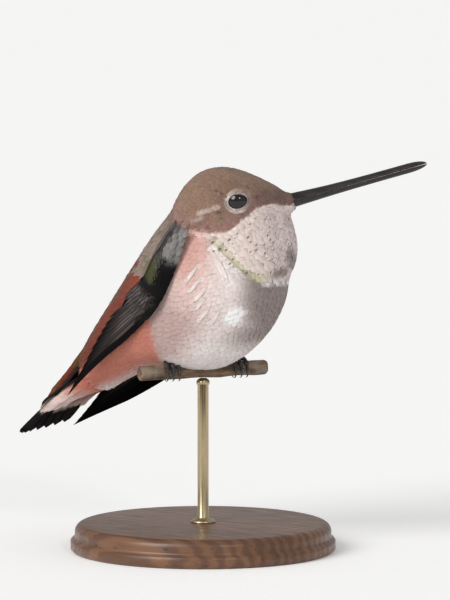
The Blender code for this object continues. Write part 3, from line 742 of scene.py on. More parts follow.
def make_skin(wing_tree):
    """The flesh, thinner by the coat's depth, pressed in under the wings, with the legs run into it."""
    points, normals, faces = read_mesh(flesh())
    head = to_head(points - normals * coat_depth(points)[:, None])
    off = np.hypot(head[:, 1], head[:, 2])
    beyond = np.maximum(0, 1 - 1.12 / np.maximum(off, 0.1))  # the bill's root
    draw_in = smooth(head[:, 0], -2.4, -0.1) * (off < 4) * beyond * 0.85
    head[:, 1:] *= 1 - draw_in[:, None]
    points = from_head(head)
    inside, reach = 2.6, 3.4  # where a ray starts under the skin, and its length
    for i, (point, normal) in enumerate(zip(points, normals)):
        hit = wing_tree.ray_cast(Vector(point - normal * inside), Vector(normal), reach)
        if hit[0] is not None:
            points[i] += normal * min(0.0, hit[3] - 0.22 - inside)
    legs = []
    for _, sign in LEFT_RIGHT:
        path = leg_path(sign)[1]
        legs.append(tube(path, [0.40 + 0.85 * k**1.5 for k in np.linspace(0, 1, len(path))]))
    points, _, faces = read_mesh(remeshed("skin", [(points, faces), *legs], 0.28, 3))
    return points, faces


def skin_piece(points, faces, surface):
    """The skin in place of the flesh's nodes, with a stretch of its unwrap squeezed in at the seam."""
    mesh = new_mesh("skin", points, faces, {"tint": plumage_tint(points) * 0.9}, {"OFBake": unwrap(points)})
    layer = mesh.uv_layers["OFBake"].data
    for face in mesh.polygons:
        turns = [layer[k].uv[0] for k in face.loop_indices]
        if max(turns) - min(turns) > 0.5:  # across the unwrap's seam
            for k in face.loop_indices:
                layer[k].uv[0] = max(layer[k].uv[0], 0.98) if layer[k].uv[0] > 0.5 else 0.98
    add_piece("skin", mesh, surface, "plumage_pale", "head", "neck", "trunk", "rump", "leg_left", "leg_right")


def near_eye(head):
    """How far points of the head lie from the middle of the nearer eye."""
    return np.linalg.norm(head[:, None] - EYES, axis=-1).min(axis=1)


def spacing_at(points):
    """How far apart the feathers stand."""
    head = to_head(points)
    from_bill, from_eye = np.linalg.norm(head, axis=-1), near_eye(head)
    gorget = zones(points)[1]
    apart = 0.32 + 0.20 * smooth(from_bill, 2.0, 10.0) + 0.16 * smooth(from_bill, 12.0, 20.0)
    apart = np.where(gorget > 0.5, np.interp(from_bill, (1.0, 4.0, 11.0), (0.34, 0.56, 0.70)), apart)
    back = trunk_place(points)[1] > BACK_FROM
    apart = np.where(back, apart * (1 + 0.35 * smooth(from_bill, 14.0, 20.0)), apart)
    apart = np.minimum(apart, 0.26 + 0.35 * smooth(from_eye, 1.8, 4.0) + 10 * (from_eye > 4.0))
    for _, sign in LEFT_RIGHT:
        near_leg = np.linalg.norm(points - leg_path(sign)[1][2], axis=-1)
        apart = np.minimum(apart, 0.42 + 0.7 * smooth(near_leg, 1.0, 4.0))
    return apart


def scatter(points, faces):
    """Even roots on the skin, as close as spacing_at() says."""
    triangles = np.array([t for f in faces for t in ((f[0], f[1], f[2]), (f[0], f[2], f[3]))[: len(f) - 2]])
    a, b, c = (points[triangles[:, k]] for k in range(3))
    area = np.linalg.norm(np.cross(b - a, c - a), axis=1) / 2
    weight = area / spacing_at((a + b + c) / 3) ** 2
    picked = rng.choice(len(triangles), size=ROOT_TRIALS, p=weight / weight.sum())
    s, t = rng.random((2, ROOT_TRIALS, 1))
    s, t = np.where(s + t > 1, 1 - s, s), np.where(s + t > 1, 1 - t, t)
    spots = a[picked] * (1 - s - t) + b[picked] * s + c[picked] * t
    apart, near = spacing_at(spots), kd_tree(spots)
    free, kept = np.ones(len(spots), bool), []
    for i, (spot, radius) in enumerate(zip(spots, apart)):
        if free[i]:
            kept.append(i)
            for _, other, _ in near.find_range(spot, CLOSEST * radius):
                free[other] = False
    return spots[kept], apart[kept]


def on_skin(skin_tree, points):
    """The skin's nearest places to the points, and its normals there."""
    found = [skin_tree.find_nearest(Vector(p)) for p in points]
    return np.array([f[0][:] for f in found]), np.array([f[1][:] for f in found])


def relaxed(roots, radii, skin_tree, rounds=4):
    """Pushes roots that crowd each other apart, along the skin."""
    for _ in range(rounds):
        near, moved = kd_tree(roots), roots.copy()
        for i, root in enumerate(roots):
            for other, j, gap in near.find_n(root, 7)[1:]:
                wanted = 0.53 * (radii[i] + radii[j])
                if gap < wanted:
                    moved[i] += (root - np.array(other)) * (0.35 * (wanted - gap) / max(gap, 0.05))
        roots = on_skin(skin_tree, moved)[0]
    return roots


def lie_at(points, normals):
    """The way the feathers point, along the skin, from the bill towards the tail."""
    return square_to(unit(points - BILL_POLE) + unit(TAIL_POLE - points), normals)


def midlines(roots, skin_tree, lengths, rows):
    """For each root, points down the middle of its feather on the skin, with their normals and ways."""
    points, normals, ways = [], [], []
    at = roots
    for _ in range(rows):
        here, up = on_skin(skin_tree, at)
        if normals:
            up = unit(up + normals[-1])
        way = lie_at(here, up)
        points.append(here)
        normals.append(up)
        ways.append(way)
        at = here + way * (lengths / (rows - 1))[:, None]
    return np.stack(points, 1), np.stack(normals, 1), np.stack(ways, 1)


def feather_grid(middle, normals, ways, lengths, widths, heights, shape, fray, bend=7.0, cols=9):
    """Grids of vanes over the midlines, and their normals.

    shape gives the half width at each row, and heights the lift at root and tip.
    """
    n, rows = middle.shape[:2]
    across, down = np.linspace(-1, 1, cols), np.linspace(0, 1, rows)
    lift = heights[0][:, None] + (heights[1] - heights[0])[:, None] * down**0.8
    half = widths[:, None] / 2 * shape(down)
    aside = half[:, :, None] * across
    rise = lift[:, :, None] - aside**2 / (2 * bend)
    beside = unit(np.cross(ways, normals))[:, :, None]
    grid = middle[:, :, None] + beside * aside[..., None] + normals[:, :, None] * rise[..., None]
    cuts = rng.uniform(0.4, 1.0, (n, cols)) * np.where(np.arange(cols) % 2, 0.0, 1.0) * fray
    rounded = 0.22 * across**2 * smooth(down, 0.75, 1.0)[:, None]
    back = cuts[:, None] * smooth(down, 0.6, 1.0)[None, :, None] + rounded
    grid = grid - ways[:, :, None] * (back * lengths[:, None, None])[..., None]
    return grid, np.broadcast_to(normals[:, :, None], grid.shape)


def round_shape(x):
    end = np.sqrt(np.maximum(0.0, 1 - np.maximum(0, (x - 0.5) / 0.5) ** 2.2) * 0.9 + 0.1)
    return (0.35 + 0.65 * smooth(x, 0, 0.35)) * end


def soft_shape(x):
    return (0.3 + 0.7 * smooth(x, 0, 0.45)) * (1 - 0.38 * smooth(x, 0.6, 1.0))


def spindle_shape(x):
    return 0.12 + 0.88 * np.sin(math.pi * np.clip(x, 0.0, 1.0) ** 0.8).clip(0)


def eye_balls():
    """Both eyeballs' fronts, as ground for the feathers round the lids."""
    parts = []
    for (_, sign), eye in zip(LEFT_RIGHT, EYES):
        rings = []
        for tilt in np.linspace(0.05, 1.45, 12):
            at, reach = eye + [0, sign * EYE_GROUND * math.cos(tilt), 0], EYE_GROUND * math.sin(tilt)
            rings.append(from_head(ring(at, AHEAD, sign * UP, reach, reach, 32)))
        parts.append(loft(rings, closed_ends=False))
    points, faces = joined(*parts)
    return points, [face[::-1] for face in faces]


def opening(head):
    """How far a point of the head lies out from an eye: 1 at the rim of its opening, 2 at twice that."""
    x, z = ((head - EYE_CENTRE)[:, ::2] / EYE_OPENING).T
    return np.where(np.abs(head[:, 1]) > 2.5, np.hypot(x, z), 9.0)


def under_wing(wing_tree, points, normals):
    """Which of the points have a wing close over them."""
    hits = (wing_tree.ray_cast(Vector(p), Vector(n), WING_OVER) for p, n in zip(points, normals))
    return np.array([hit[0] is not None for hit in hits], bool)


def body_coat(roots, radii, skin_tree, wing_tree):
    """The contour feathers of the whole body, in pieces by region."""
    down = on_skin(skin_tree, roots)[1]
    covered = under_wing(wing_tree, roots, down)
    head = to_head(roots)
    from_bill = np.linalg.norm(head, axis=1)
    cap, gorget, _, over_gorget = zones(roots)
    forward, dorsal = trunk_place(roots)
    kinds = (gorget > 0.5), (cap < 0.5) & (dorsal < BACK_FROM)  # the gorget's, the soft ones, and all others
    lengths = radii * np.select(kinds, (2.1, 3.9), 2.8) * (1 + 0.35 * smooth(forward, 4.0, -4.0))
    widths = radii * np.select(kinds, (1.6, 1.9), 1.65)
    ways = lie_at(roots, down)
    for _ in range(8):  # those in front of an eye stop short of its opening
        over = opening(to_head(roots + ways * lengths[:, None])) < 1.22
        lengths = np.where(over, 0.82 * lengths, lengths)
    keep = (near_eye(head) > EYE_RADIUS - 0.06) & (opening(head) > 1.13) & (from_bill > 0.9) & ~over
    depth = coat_depth(roots)
    chance = rng.random(len(roots))
    shades = 1 + rng.uniform(-1, 1, len(roots)) * np.where(~kinds[0] & kinds[1], 0.035, 0.08)
    spot = (rng.random(len(roots)) < 0.34) * rng.uniform(0.4, 1.0, len(roots)) * (gorget > 0.5)
    spot *= smooth(over_gorget, 0.9, 1.3) * smooth(from_bill, 2.6, 4.5)
    rim = (cap + smooth(dorsal, *BACK_EDGE)).clip(0, 1)
    marks = np.stack([spot, rng.random(len(roots)), rim], -1)
    right = roots[:, 1] < 0
    heads = np.where(right, "coat_head_right", "coat_head_left")
    bellies = np.where(right, "coat_belly_right", "coat_belly_left")
    tests = cap > 0.5, gorget > 0.5, dorsal >= BACK_FROM
    regions = np.select(tests, (heads, "coat_throat", "coat_back"), bellies)
    pieces = {}
    for name in COAT_SLOTS:
        part = np.nonzero(keep & (regions == name))[0]
        middle, normals, ways = midlines(roots[part], skin_tree, lengths[part], 6)
        steady = (normals[:, 0] * normals[:, -1]).sum(-1) > 0.35  # the rest would stand off at the rump's end
        seen = steady & ~(covered[part] & under_wing(wing_tree, middle[:, -1], normals[:, -1]))
        part, middle, normals, ways = (values[seen] for values in (part, middle, normals, ways))
        flat = np.where(covered[part], 0.25, 1.0)
        low = depth[part] * rng.uniform(0.48, 0.56, len(part)) * flat
        high = depth[part] * rng.uniform(0.92, 1.08, len(part)) * flat
        if name == "coat_throat":
            high *= 0.8
        shape, fray = (soft_shape, 0.12) if "belly" in name else (round_shape, 0.04)
        grid, up = feather_grid(middle, normals, ways, lengths[part], widths[part], (low, high), shape, fray)
        own = plumage_tint(middle[:, -2], chance[part])[:, None, None]
        drawn = plumage_tint(grid, chance[part][:, None, None])
        tint = (own * 0.45 + drawn * 0.55) * shades[part][:, None, None, None]
        pieces[name] = Vanes()
        pieces[name].add(grid, up, 0.025, tint, marks[part], roots[part])
    return pieces


def covert_tint(share, along, across, strength):
    """Grey with a dark streak on the shoulder, olive behind it, then black, and streaked over the quills with
    a painted sheen.
    """
    black = srgb(20, 18, 18)
    streak = smooth(across, -0.8, -0.5) * smooth(across, 0.35, 0.05) * strength
    return painted(
        (140, 137, 134),
        ((108, 97, 92), smooth(share, 0.55, 0.75)),
        ((66, 62, 61), smooth(np.abs(share - 0.55), 0.16, 0.06) * smooth(along, 0.17, 0.13)),
        ((76, 77, 48), smooth(along, 0.10, 0.17) * smooth(share, 0.30, 0.42)),
        (black, smooth(along, 0.10, 0.14) * smooth(share, 0.44, 0.34)),
        (black, smooth(along, 0.22, 0.245)),
        ((58, 52, 51), smooth(along, 0.275, 0.30) * smooth(share, 0.10, 0.24)),
        # pale streaks over the quills: painted sheen
        ((108, 99, 97), streak * smooth(along, 0.28, 0.31) * smooth(share, 0.12, 0.24)),
    )


def wing_coverts(side):
    """Small coverts in rows over the shoulder, two rows of long ones, and scapulars over the wing's edge."""
    done = np.linspace(0, 1, 8)
    kinds = []  # share of the chord, along, length, width and lift
    for row in range(16):
        late = row / 15
        along = -0.012 + 0.228 * late
        count = max(4, round(12 * arm_profile(max(along, 0.02))[1]))
        size = along, 1.4 + 1.6 * late, 0.75 + 0.3 * late, 0.22 * late
        kinds += [((k + 0.25 + 0.5 * (row % 2)) / count, *size) for k in range(count)]
    for count, along, length, lift in ((9, 0.215, 6.0, 0.12), (10, 0.235, 7.6, 0.03)):
        for k in range(count):
            kinds.append(((k + 0.4) / count, along, length + rng.uniform(-0.5, 0.5), 1.25, lift))
    kinds += [(0.74 + 0.03 * k, 0.02 + 0.02 * k, 4.2, 1.2, 0.3) for k in range(8)]
    shares, alongs, lengths, widths, lifts = np.array(kinds).T
    along = alongs[:, None] + done * (lengths / WING_RUN)[:, None]

    def surface(share):
        half, full = arm_profile(along)
        bulge = half * np.sqrt(np.maximum(0, 1 - ((1 - 2 * np.clip(share, 0, 1)) / full) ** 2))
        beyond = smooth(along, COVERT_SHARE - 0.02, COVERT_SHARE + 0.08)
        out = np.maximum(bulge * (1 - beyond), 0.42 * smooth(along, 0.2, 0.32)) + 0.08 + 0.22 * done
        return wing_point(side, trimmed(share, along), along, out + lifts[:, None])

    share = np.broadcast_to(shares[:, None], along.shape)
    middle = surface(share)
    ways = unit(np.gradient(middle, axis=1))
    normals = unit(np.cross(unit(surface(share + 0.05) - surface(share - 0.05)), ways))
    normals *= np.sign((normals * wing_outward(side)).sum(-1, keepdims=True))
    flat = np.zeros(len(along))
    grid, up = feather_grid(middle, normals, ways, lengths, widths, (flat, flat), round_shape, 0.05, 5.0)
    ragged = along + rng.uniform(-0.012, 0.012, (len(along), 1))
    strength = rng.uniform(0.1, 0.9, (len(along), 1, 1))
    tints = covert_tint(share[..., None], ragged[..., None], np.linspace(-1, 1, grid.shape[2]), strength)
    tints = tints * rng.uniform(0.88, 1.1, (len(along), 1, 1, 1))
    marks = np.stack([flat, rng.random(len(along)), flat], -1)
    vanes = Vanes()
    vanes.add(grid, up, 0.05, tints, marks, middle[:, 0])
    return vanes


def arm_mesh(side):
    """The shoulder under its coverts."""
    rings = []
    turn = np.linspace(0, 2 * math.pi, 28, endpoint=False)
    for along in np.linspace(-0.004, COVERT_SHARE, 22):
        half, full = arm_profile(along)
        share = trimmed(0.5 - 0.48 * np.cos(turn) * full, along)
        rings.append(wing_point(side, share, along, 0.92 * half * np.sin(turn)))
    points, faces = loft(rings)
    tint = np.broadcast_to(srgb(92, 86, 80), points.shape)
    return outward(new_mesh(f"wing_{side}_arm", points, faces, {"tint": tint}, {"OFBake": unwrap(points)}))


def flank_highlight_plumes(skin_tree):
    """The narrow white plumes, lying over the coat of both flanks: pale feathers that are painted highlights
    too.
    """
    down = np.linspace(0, 1, 9)[:, None]
    lines, widths = [], []
    for start, end, width in HIGHLIGHT_PLUMES:
        start, run = np.array(start), np.array(end) - start
        aside = unit(np.cross(run, [0.2, 1.0, 0.0]))
        for strand in (-0.5, 0.5):
            shift = aside * strand * 0.42 * width
            late = run * (0.12 * strand + rng.uniform(0, 0.06))
            for mirror in (1, -1):
                line = (start + shift + late + run * down) * [1, mirror, 1]
                if zones(line)[1].max() < 0.5:  # none over the gorget, which the turned head brings left
                    lines.append(line)
                    widths.append(0.72 * width)
    middle, normals = (v.reshape(-1, 9, 3) for v in on_skin(skin_tree, np.vstack(lines)))
    normals, ways = unit(normals), unit(np.gradient(middle, axis=1))
    lengths, depth = np.linalg.norm(middle[:, -1] - middle[:, 0], axis=-1), coat_depth(middle[:, 4])
    heights = depth * 1.05, depth * 1.3
    grid, up = feather_grid(middle, normals, ways, lengths, np.array(widths), heights, spindle_shape, 0.03)
    flat = np.zeros(len(lines))
    marks = np.stack([flat, rng.random(len(lines)), flat], -1)
    vanes = Vanes()
    vanes.add(grid, up, 0.03, np.tile(srgb(255, 240, 234), (len(lines), 1)), marks, middle[:, 0])
    return vanes


# ---------------------------------------------------------------- materials


class Surface:
    """A Principled material, with short ways to add the nodes that drive it."""

    def __init__(self, name, **constants):
        self.material = bpy.data.materials.new(name)
        self.material.use_nodes = True
        self.tree = self.material.node_tree
        self.shader = self.tree.nodes["Principled BSDF"]
        for key, value in constants.items():
            self.shader.inputs[key.replace("_", " ")].default_value = value

    def put(self, socket, value):
        if hasattr(value, "is_output"):
            self.tree.links.new(value, socket)
        elif value is not None:
            socket.default_value = value

    def node(self, kind, out=0, settings=None, **inputs):
        made = self.tree.nodes.new("ShaderNode" + kind)
        for key, value in (settings or {}).items():
            setattr(made, key, value)
        for key, value in inputs.items():
            numbered = key[0] == "i" and key[1:].isdigit()
            self.put(made.inputs[int(key[1:]) if numbered else key.replace("_", " ")], value)
        return made.outputs[out]

    def math(self, operation, a, b=None, c=None):
        return self.node("Math", settings={"operation": operation}, i0=a, i1=b, i2=c)

    def times(self, *values):
        product, *others = values
        for value in others:
            product = self.math("MULTIPLY", product, value)
        return product

    def ramp(self, value, low, high, to_low=0.0, to_high=1.0):
        """An even ramp from to_low to to_high as value goes from low to high."""
        inputs = {"From Min": low, "From Max": high, "To Min": to_low, "To Max": to_high, "Value": value}
        return self.node("MapRange", settings={"interpolation_type": "SMOOTHSTEP"}, **inputs)

    def mix(self, share, a, b, way="MIX"):
        made = self.tree.nodes.new("ShaderNodeMix")
        made.data_type, made.blend_type = "RGBA", way
        self.put(made.inputs[0], share)
        for socket, value in ((made.inputs[6], a), (made.inputs[7], b)):
            self.put(socket, (*value, 1.0) if isinstance(value, (tuple, np.ndarray)) else value)
        return made.outputs[2]

    def shaded(self, colour, shade):
        grey = self.node("CombineXYZ", X=shade, Y=shade, Z=shade)
        return self.mix(1.0, colour, grey, "MULTIPLY")

    def place(self, **mapping):
        """The object's own coordinates, mapped like this."""
        return self.node("Mapping", Vector=self.node("TexCoord", out=3), **mapping)

    def noise(self, scale, detail=3.0, roughness=0.55, where=None):
        where = where or self.node("TexCoord", out=3)
        return self.node("TexNoise", Vector=where, Scale=scale, Detail=detail, Roughness=roughness)

    def attribute(self, name, out=0):
        return self.node("Attribute", out=out, settings={"attribute_name": name})

    def split(self, value):
        return self.node("SeparateXYZ", Vector=value).node.outputs

    def vane(self):
        """A feather's tint and marks, and how far across and down it a point lies."""
        across, down, _ = self.split(self.node("UVMap", settings={"uv_map": "vane"}))
        return self.attribute("tint"), self.split(self.attribute("mark", out=1)), across, down

    def barbs(self, aside, down, slant, count):
        """Waves from 0 to 1 that slant out from the shaft."""
        slanted = self.math("MULTIPLY_ADD", aside, slant, self.times(down, -1.0))
        return self.math("MULTIPLY_ADD", self.math("SINE", self.times(slanted, count)), 0.5, 0.5)

    def colour(self, value):
        self.put(self.shader.inputs["Base Color"], value)

    def rough(self, value):
        self.put(self.shader.inputs["Roughness"], value)

    def bump(self, height, distance, strength=1.0):
        inputs = {"Height": height, "Distance": distance, "Strength": strength}
        self.put(self.shader.inputs["Normal"], self.node("Bump", **inputs))


def plumage_surface(name, barb_count, sheen):
    """Small feathers: barbs along each vane, a shaded root, a soft rim and the gorget's dusky spots."""
    s = Surface(name, Specular_IOR_Level=0.08 + sheen, Sheen_Weight=sheen, Sheen_Roughness=0.5)
    tint, (spotted, _, rimmed), across, down = s.vane()
    aside = s.math("ABSOLUTE", s.math("MULTIPLY_ADD", across, 2.0, -1.0))
    barbs = s.barbs(aside, down, 0.55, 2 * math.pi * barb_count)
    soft = s.noise(1500.0, 3.0)
    shade = s.times(s.ramp(down, 0.1, 0.85, 0.74, 1.0), s.ramp(barbs, 0.0, 1.0, 0.93, 1.03))
    colour = s.shaded(tint, s.times(shade, s.ramp(soft, 0.3, 0.7, 0.94, 1.05)))
    rim = s.times(s.ramp(s.math("MAXIMUM", aside, down), 0.72, 0.98), s.times(rimmed, 0.9))
    colour = s.mix(rim, colour, s.mix(1.0, colour, (1.28, 1.2, 1.15), "MULTIPLY"))
    wide = s.math("DIVIDE", aside, 0.34)
    long = s.math("ABSOLUTE", s.math("DIVIDE", s.math("SUBTRACT", down, 0.71), 0.20))
    oval = s.math("ADD", s.math("POWER", wide, 2.0), s.math("POWER", long, 2.0))
    spot = s.times(s.ramp(oval, s.times(spotted, 1.3), s.times(spotted, 0.4)), spotted)
    s.colour(s.mix(s.times(spot, 0.85), colour, srgb(88, 72, 69)))
    s.rough(s.ramp(soft, 0.3, 0.7, 0.7, 0.85))
    s.bump(s.math("ADD", barbs, s.times(s.ramp(aside, 0.12, 0.0), 1.5)), 0.00002, 0.7)
    return s.material


def skin_surface():
    s = Surface("down", Roughness=0.9, Specular_IOR_Level=0.15, Sheen_Weight=0.2)
    fluff = s.noise(2600.0, 4.0)
    s.colour(s.shaded(s.attribute("tint"), s.ramp(fluff, 0.3, 0.7, 0.8, 1.08)))
    s.bump(fluff, 0.0001, 0.8)
    return s.material


def flight_surface():
    """Long feathers: fine slanting barbs, pale streaks along them that are a painted sheen, and a darker
    shaft.
    """
    s = Surface("flight_feather", Specular_IOR_Level=0.01)
    tint, (_, chance, _), across, down = s.vane()
    place = s.node("CombineXYZ", X=s.times(across, 9.0), Y=s.times(down, 1.6), Z=s.times(chance, 40.0))
    # pale and dark streaks along the vanes: painted sheen
    streaks = s.noise(1.6, 4.0, 0.6, where=place)
    aside = s.math("ABSOLUTE", s.math("SUBTRACT", across, 0.5))
    barbs, shaft = s.barbs(aside, down, 0.35, 420.0), s.ramp(aside, 0.05, 0.02)
    shade = s.times(s.ramp(streaks, 0.35, 0.65, 0.72, 1.3), s.ramp(barbs, 0.0, 1.0, 0.9, 1.05))
    s.colour(s.mix(s.times(shaft, 0.7), s.shaded(tint, shade), srgb(28, 24, 23)))
    s.rough(s.ramp(streaks, 0.3, 0.7, 0.6, 0.8))
    s.bump(s.math("ADD", barbs, s.times(shaft, 3.0)), 0.00002, 0.8)
    return s.material


def grained(name, noise, dark, pale, low=0.3, stretch=(1.0, 1.0, 1.0), rough=None, bump=None, **constants):
    """A material whose colour, and if given its roughness and relief, follow one noise."""
    s = Surface(name, **constants)
    grain = s.noise(*noise, where=s.place(Scale=stretch))
    s.colour(s.mix(s.ramp(grain, low, 1 - low), srgb(*dark), srgb(*pale)))
    if rough:
        s.rough(s.ramp(grain, 0.3, 0.7, *rough))
    if bump:
        s.bump(grain, bump, 0.5)
    return s.material


def bill_surface():
    return grained("bill", (900.0, 4.0, 0.6), (24, 19, 18), (42, 35, 33), stretch=(0.15, 1.0, 1.0),
                   rough=(0.26, 0.42), bump=0.00003, Specular_IOR_Level=0.4, Coat_Weight=0.08,
                   Coat_Roughness=0.2)


def eye_surface():
    return grained("eye", (700.0, 2.0), (8, 6, 6), (24, 18, 16), low=0.35, Roughness=0.04,
                   Specular_IOR_Level=0.45, Coat_Weight=0.2, Coat_Roughness=0.02)


def brass_surface():
    return grained("brass", (4200.0, 3.0), (168, 150, 118), (200, 184, 150), stretch=(1.0, 1.0, 0.04),
                   rough=(0.24, 0.4), bump=0.00001, Metallic=1.0)


def floor_surface():
    return grained("paper", (900.0, 3.0), (246, 246, 245), (249, 249, 248), Roughness=0.9,
                   Specular_IOR_Level=0.1, Emission_Color=(1, 1, 1, 1), Emission_Strength=0.14)


def foot_surface():
    s = Surface("foot", Specular_IOR_Level=0.45)
    scutes = s.node("TexVoronoi", Vector=s.node("TexCoord", out=3), Scale=2600.0)
    s.colour(s.mix(s.ramp(scutes, 0.1, 0.6), srgb(70, 62, 58), srgb(34, 31, 31)))
    s.rough(s.ramp(scutes, 0.1, 0.6, 0.42, 0.6))
    s.bump(scutes, 0.00005, 0.8)
    return s.material


def claw_surface():
    s = Surface("claw", Specular_IOR_Level=0.6, Coat_Weight=0.4, Coat_Roughness=0.15)
    grain = s.noise(1800.0, 3.0)
    s.colour(s.mix(grain, srgb(22, 20, 20), srgb(48, 43, 42)))
    s.rough(s.ramp(grain, 0.3, 0.7, 0.2, 0.35))
    return s.material


def bark_surface():
    """Ridges along the twig, under pale patches."""
    s = Surface("bark", Specular_IOR_Level=0.25)
    place = s.place(Rotation=(0, 0, -PERCH_TURN))
    ridges = s.noise(900.0, 5.0, 0.65, where=s.node("Mapping", Vector=place, Scale=(0.25, 1.0, 1.0)))
    patches = s.noise(260.0, 3.0, where=place)
    colour = s.mix(s.ramp(ridges, 0.35, 0.65), srgb(84, 66, 52), srgb(140, 118, 98))
    s.colour(s.mix(s.ramp(patches, 0.5, 0.7, 0.0, 0.6), colour, srgb(150, 145, 130)))
    s.rough(s.ramp(ridges, 0.3, 0.7, 0.95, 0.75))
    s.bump(ridges, 0.00025, 0.9)
    return s.material


def walnut_surface():
    """Growth rings, darker stretches and fine pores."""
    s = Surface("walnut", Specular_IOR_Level=0.45, Coat_Weight=0.15, Coat_Roughness=0.25)
    place = s.place(Scale=(0.12, 1.0, 1.0), Rotation=(0.0, 0.1, 0.5))
    wander, pores = s.noise(90.0, 3.0, where=place), s.noise(1500.0, 4.0, 0.7, where=place)
    bands, waves = {"wave_type": "BANDS", "bands_direction": "Y"}, {"Scale": 210.0, "Distortion": 4.5}
    rings = s.node("TexWave", settings=bands, Vector=place, Detail=4.0, Detail_Scale=1.6, **waves)
    colour = s.mix(s.ramp(rings, 0.1, 0.9), srgb(98, 65, 45), srgb(122, 84, 58))
    colour = s.mix(s.ramp(wander, 0.4, 0.7, 0.0, 0.5), colour, srgb(70, 45, 32))
    s.colour(s.mix(s.ramp(pores, 0.56, 0.7, 0.0, 0.7), colour, srgb(46, 30, 22)))
    s.rough(s.ramp(pores, 0.3, 0.7, 0.3, 0.48))
    s.bump(pores, 0.00004, 0.6)
    return s.material


# ---------------------------------------------------------------- bill, eyes, feet and stand


def bill_half(along):
    """Half the bill's thickness, at a share of its length from the root."""
    swell = BILL_MIDDLE_HALF + (BILL_ROOT_HALF - BILL_MIDDLE_HALF) * (1 - along) ** 4
    return max(0.12, swell * math.sqrt(max(0.0, 1 - max(0.0, (along - 0.86) / 0.14) ** 2 * 0.97)))


def make_bill(surface):
    """Two mandibles whose edges nearly meet, with a ridge along the top and a groove for the nostril."""
    for name, sign in (("bill_upper", 1), ("bill_lower", -1)):
        rings = []
        for along in np.linspace(0, 1, 60):
            half = bill_half(along) * (1.0 if sign > 0 else 0.94)
            forward, middle = along * BILL_LENGTH + GAP - 1.2 * (1 - along) ** 8, BILL_RISE * along
            section = []
            for turn in np.linspace(0, math.pi, 19):
                rise = 0.05 + max(half - 0.05, 0.08) * math.sin(turn)
                ridge = 0.10 * half * math.exp(-(((turn - math.pi / 2) / 0.25) ** 2)) * (sign > 0)
                groove = 0.16 * math.exp(-(((along - 0.10) / 0.07) ** 2)) * (sign > 0)
                groove *= math.exp(-(((abs(turn - math.pi / 2) - 0.75) / 0.16) ** 2))
                height = middle + sign * (rise + ridge - groove * 0.5)
                section.append((forward, (half * 1.05 - groove) * math.cos(turn), height))
            for back in np.linspace(0.95, -0.95, 7):  # the hollow side
                section.append((forward, -half * back, middle + sign * 0.05))
            rings.append(from_head(section))
        add_piece(f"{name}_horn", outward(new_mesh(name, *loft(rings))), surface, "bill", name)


def make_eyes(surface, lid_surface):
    """The eyeballs, and round each a pale lid with a dark inner edge."""
    for (side, sign), eye in zip(LEFT_RIGHT, EYES):
        work = bmesh.new()
        bmesh.ops.create_uvsphere(work, u_segments=48, v_segments=32, radius=EYE_RADIUS)
        points = np.array([v.co[:] for v in work.verts]) + from_head(eye)
        faces = sorted(tuple(v.index for v in f.verts) for f in work.faces)  # they come in any order
        work.free()
        add_piece(f"eyeball_{side}", new_mesh("eyeball", points, faces), surface, "eye", f"eye_{side}")
        rings, tints = [], []
        for turn in np.linspace(0, 2 * math.pi, 64, endpoint=False):
            x, z = math.cos(turn), math.sin(turn)
            inner = 1 / math.hypot(x / EYE_OPENING[0], z / EYE_OPENING[1]) + 0.12 * max(0.0, x) ** 8
            pale = painted((200, 184, 176), ((246, 239, 236), smooth(-x - 0.8 * z, -0.7, 0.5)))
            section = []
            rim = (inner, 0.02), (inner + 0.03, 0.08), (inner + 0.12, 0.10)
            for reach, lift in (*rim, (1.5, 0.07), (1.66, 0.0), (1.6, -0.3), (inner + 0.05, -0.2)):
                at = np.array([x, 0, z]) * reach + [0, sign * math.sqrt(EYE_RADIUS**2 - reach**2), 0]
                section.append(eye + at * (1 + lift / EYE_RADIUS))
                tints.append(srgb(46, 39, 37) if reach < inner + 0.06 else pale)
            rings.append(from_head(section))
        points, faces = loft([*rings, rings[0]], closed_ends=False)
        count = len(tints)
        points, faces = points[:count], [tuple(k % count for k in face) for face in faces]
        mesh = outward(new_mesh("lid", points, faces, {"tint": np.array(tints)}, {"OFBake": unwrap(points)}))
        add_piece(f"eyelid_{side}", mesh, lid_surface, "plumage_crown")


def toe_path(foot, sweep, shift):
    """A toe round the perch with its pads, then its claw, each as a path and its radii."""
    radius = PERCH_RADIUS + 0.08 + TOE_RADIUS
    start, end = sweep
    claw = CLAW_SWEEP if end > start else -CLAW_SWEEP
    toe, toe_radii, nail, nail_radii = [], [], [], []
    for share in np.linspace(0, 1, 28):
        toe.append(round_perch(foot, start + (end - start) * share, radius, shift * min(1, share * 2.2)))
        pads = 0.05 * math.cos(share * math.pi * 6)
        toe_radii.append(TOE_RADIUS * (1.0 - 0.25 * share) + pads - 0.2 * (share > 0.97))
    for share in np.linspace(-0.06, 1, 14):
        arch = 0.28 * math.sin(math.pi * max(0.0, share))
        nail.append(round_perch(foot, end + claw * share, radius + arch, shift))
        nail_radii.append(TOE_RADIUS * (0.66 - 0.6 * max(0.0, share) ** 0.8))
    return (toe, toe_radii), (nail, nail_radii)


def make_feet(surface, nail_surface):
    """Four toes a foot in one skin with the shank, and the claws as a piece of their own."""
    for side, sign in LEFT_RIGHT:
        ankle, path = leg_path(sign)
        toes, nails = [], []
        for shift, sweep in [(shift, FRONT_TOE) for shift in TOES] + [(0.0, HIND_TOE)]:
            toe, nail = toe_path(PERCH_AXIS * sign * FOOT_APART, sweep, shift)
            toes.append(tube(*toe))
            nails.append(tube(*nail, around=10))
        shank = [ankle + (path[3] - ankle) * t for t in np.linspace(-0.18, 1, 8)]
        toes.append(tube(shank, [0.42, 0.56, 0.52, 0.46, 0.43, 0.42, 0.42, 0.42], 14))
        mesh = remeshed("foot", toes, 0.07, 3)
        mesh.shade_smooth()
        add_piece(f"toes_{side}", mesh, surface, "foot", f"foot_{side}")
        add_piece(f"claws_{side}", outward(new_mesh("claws", *joined(*nails))), nail_surface, "foot")


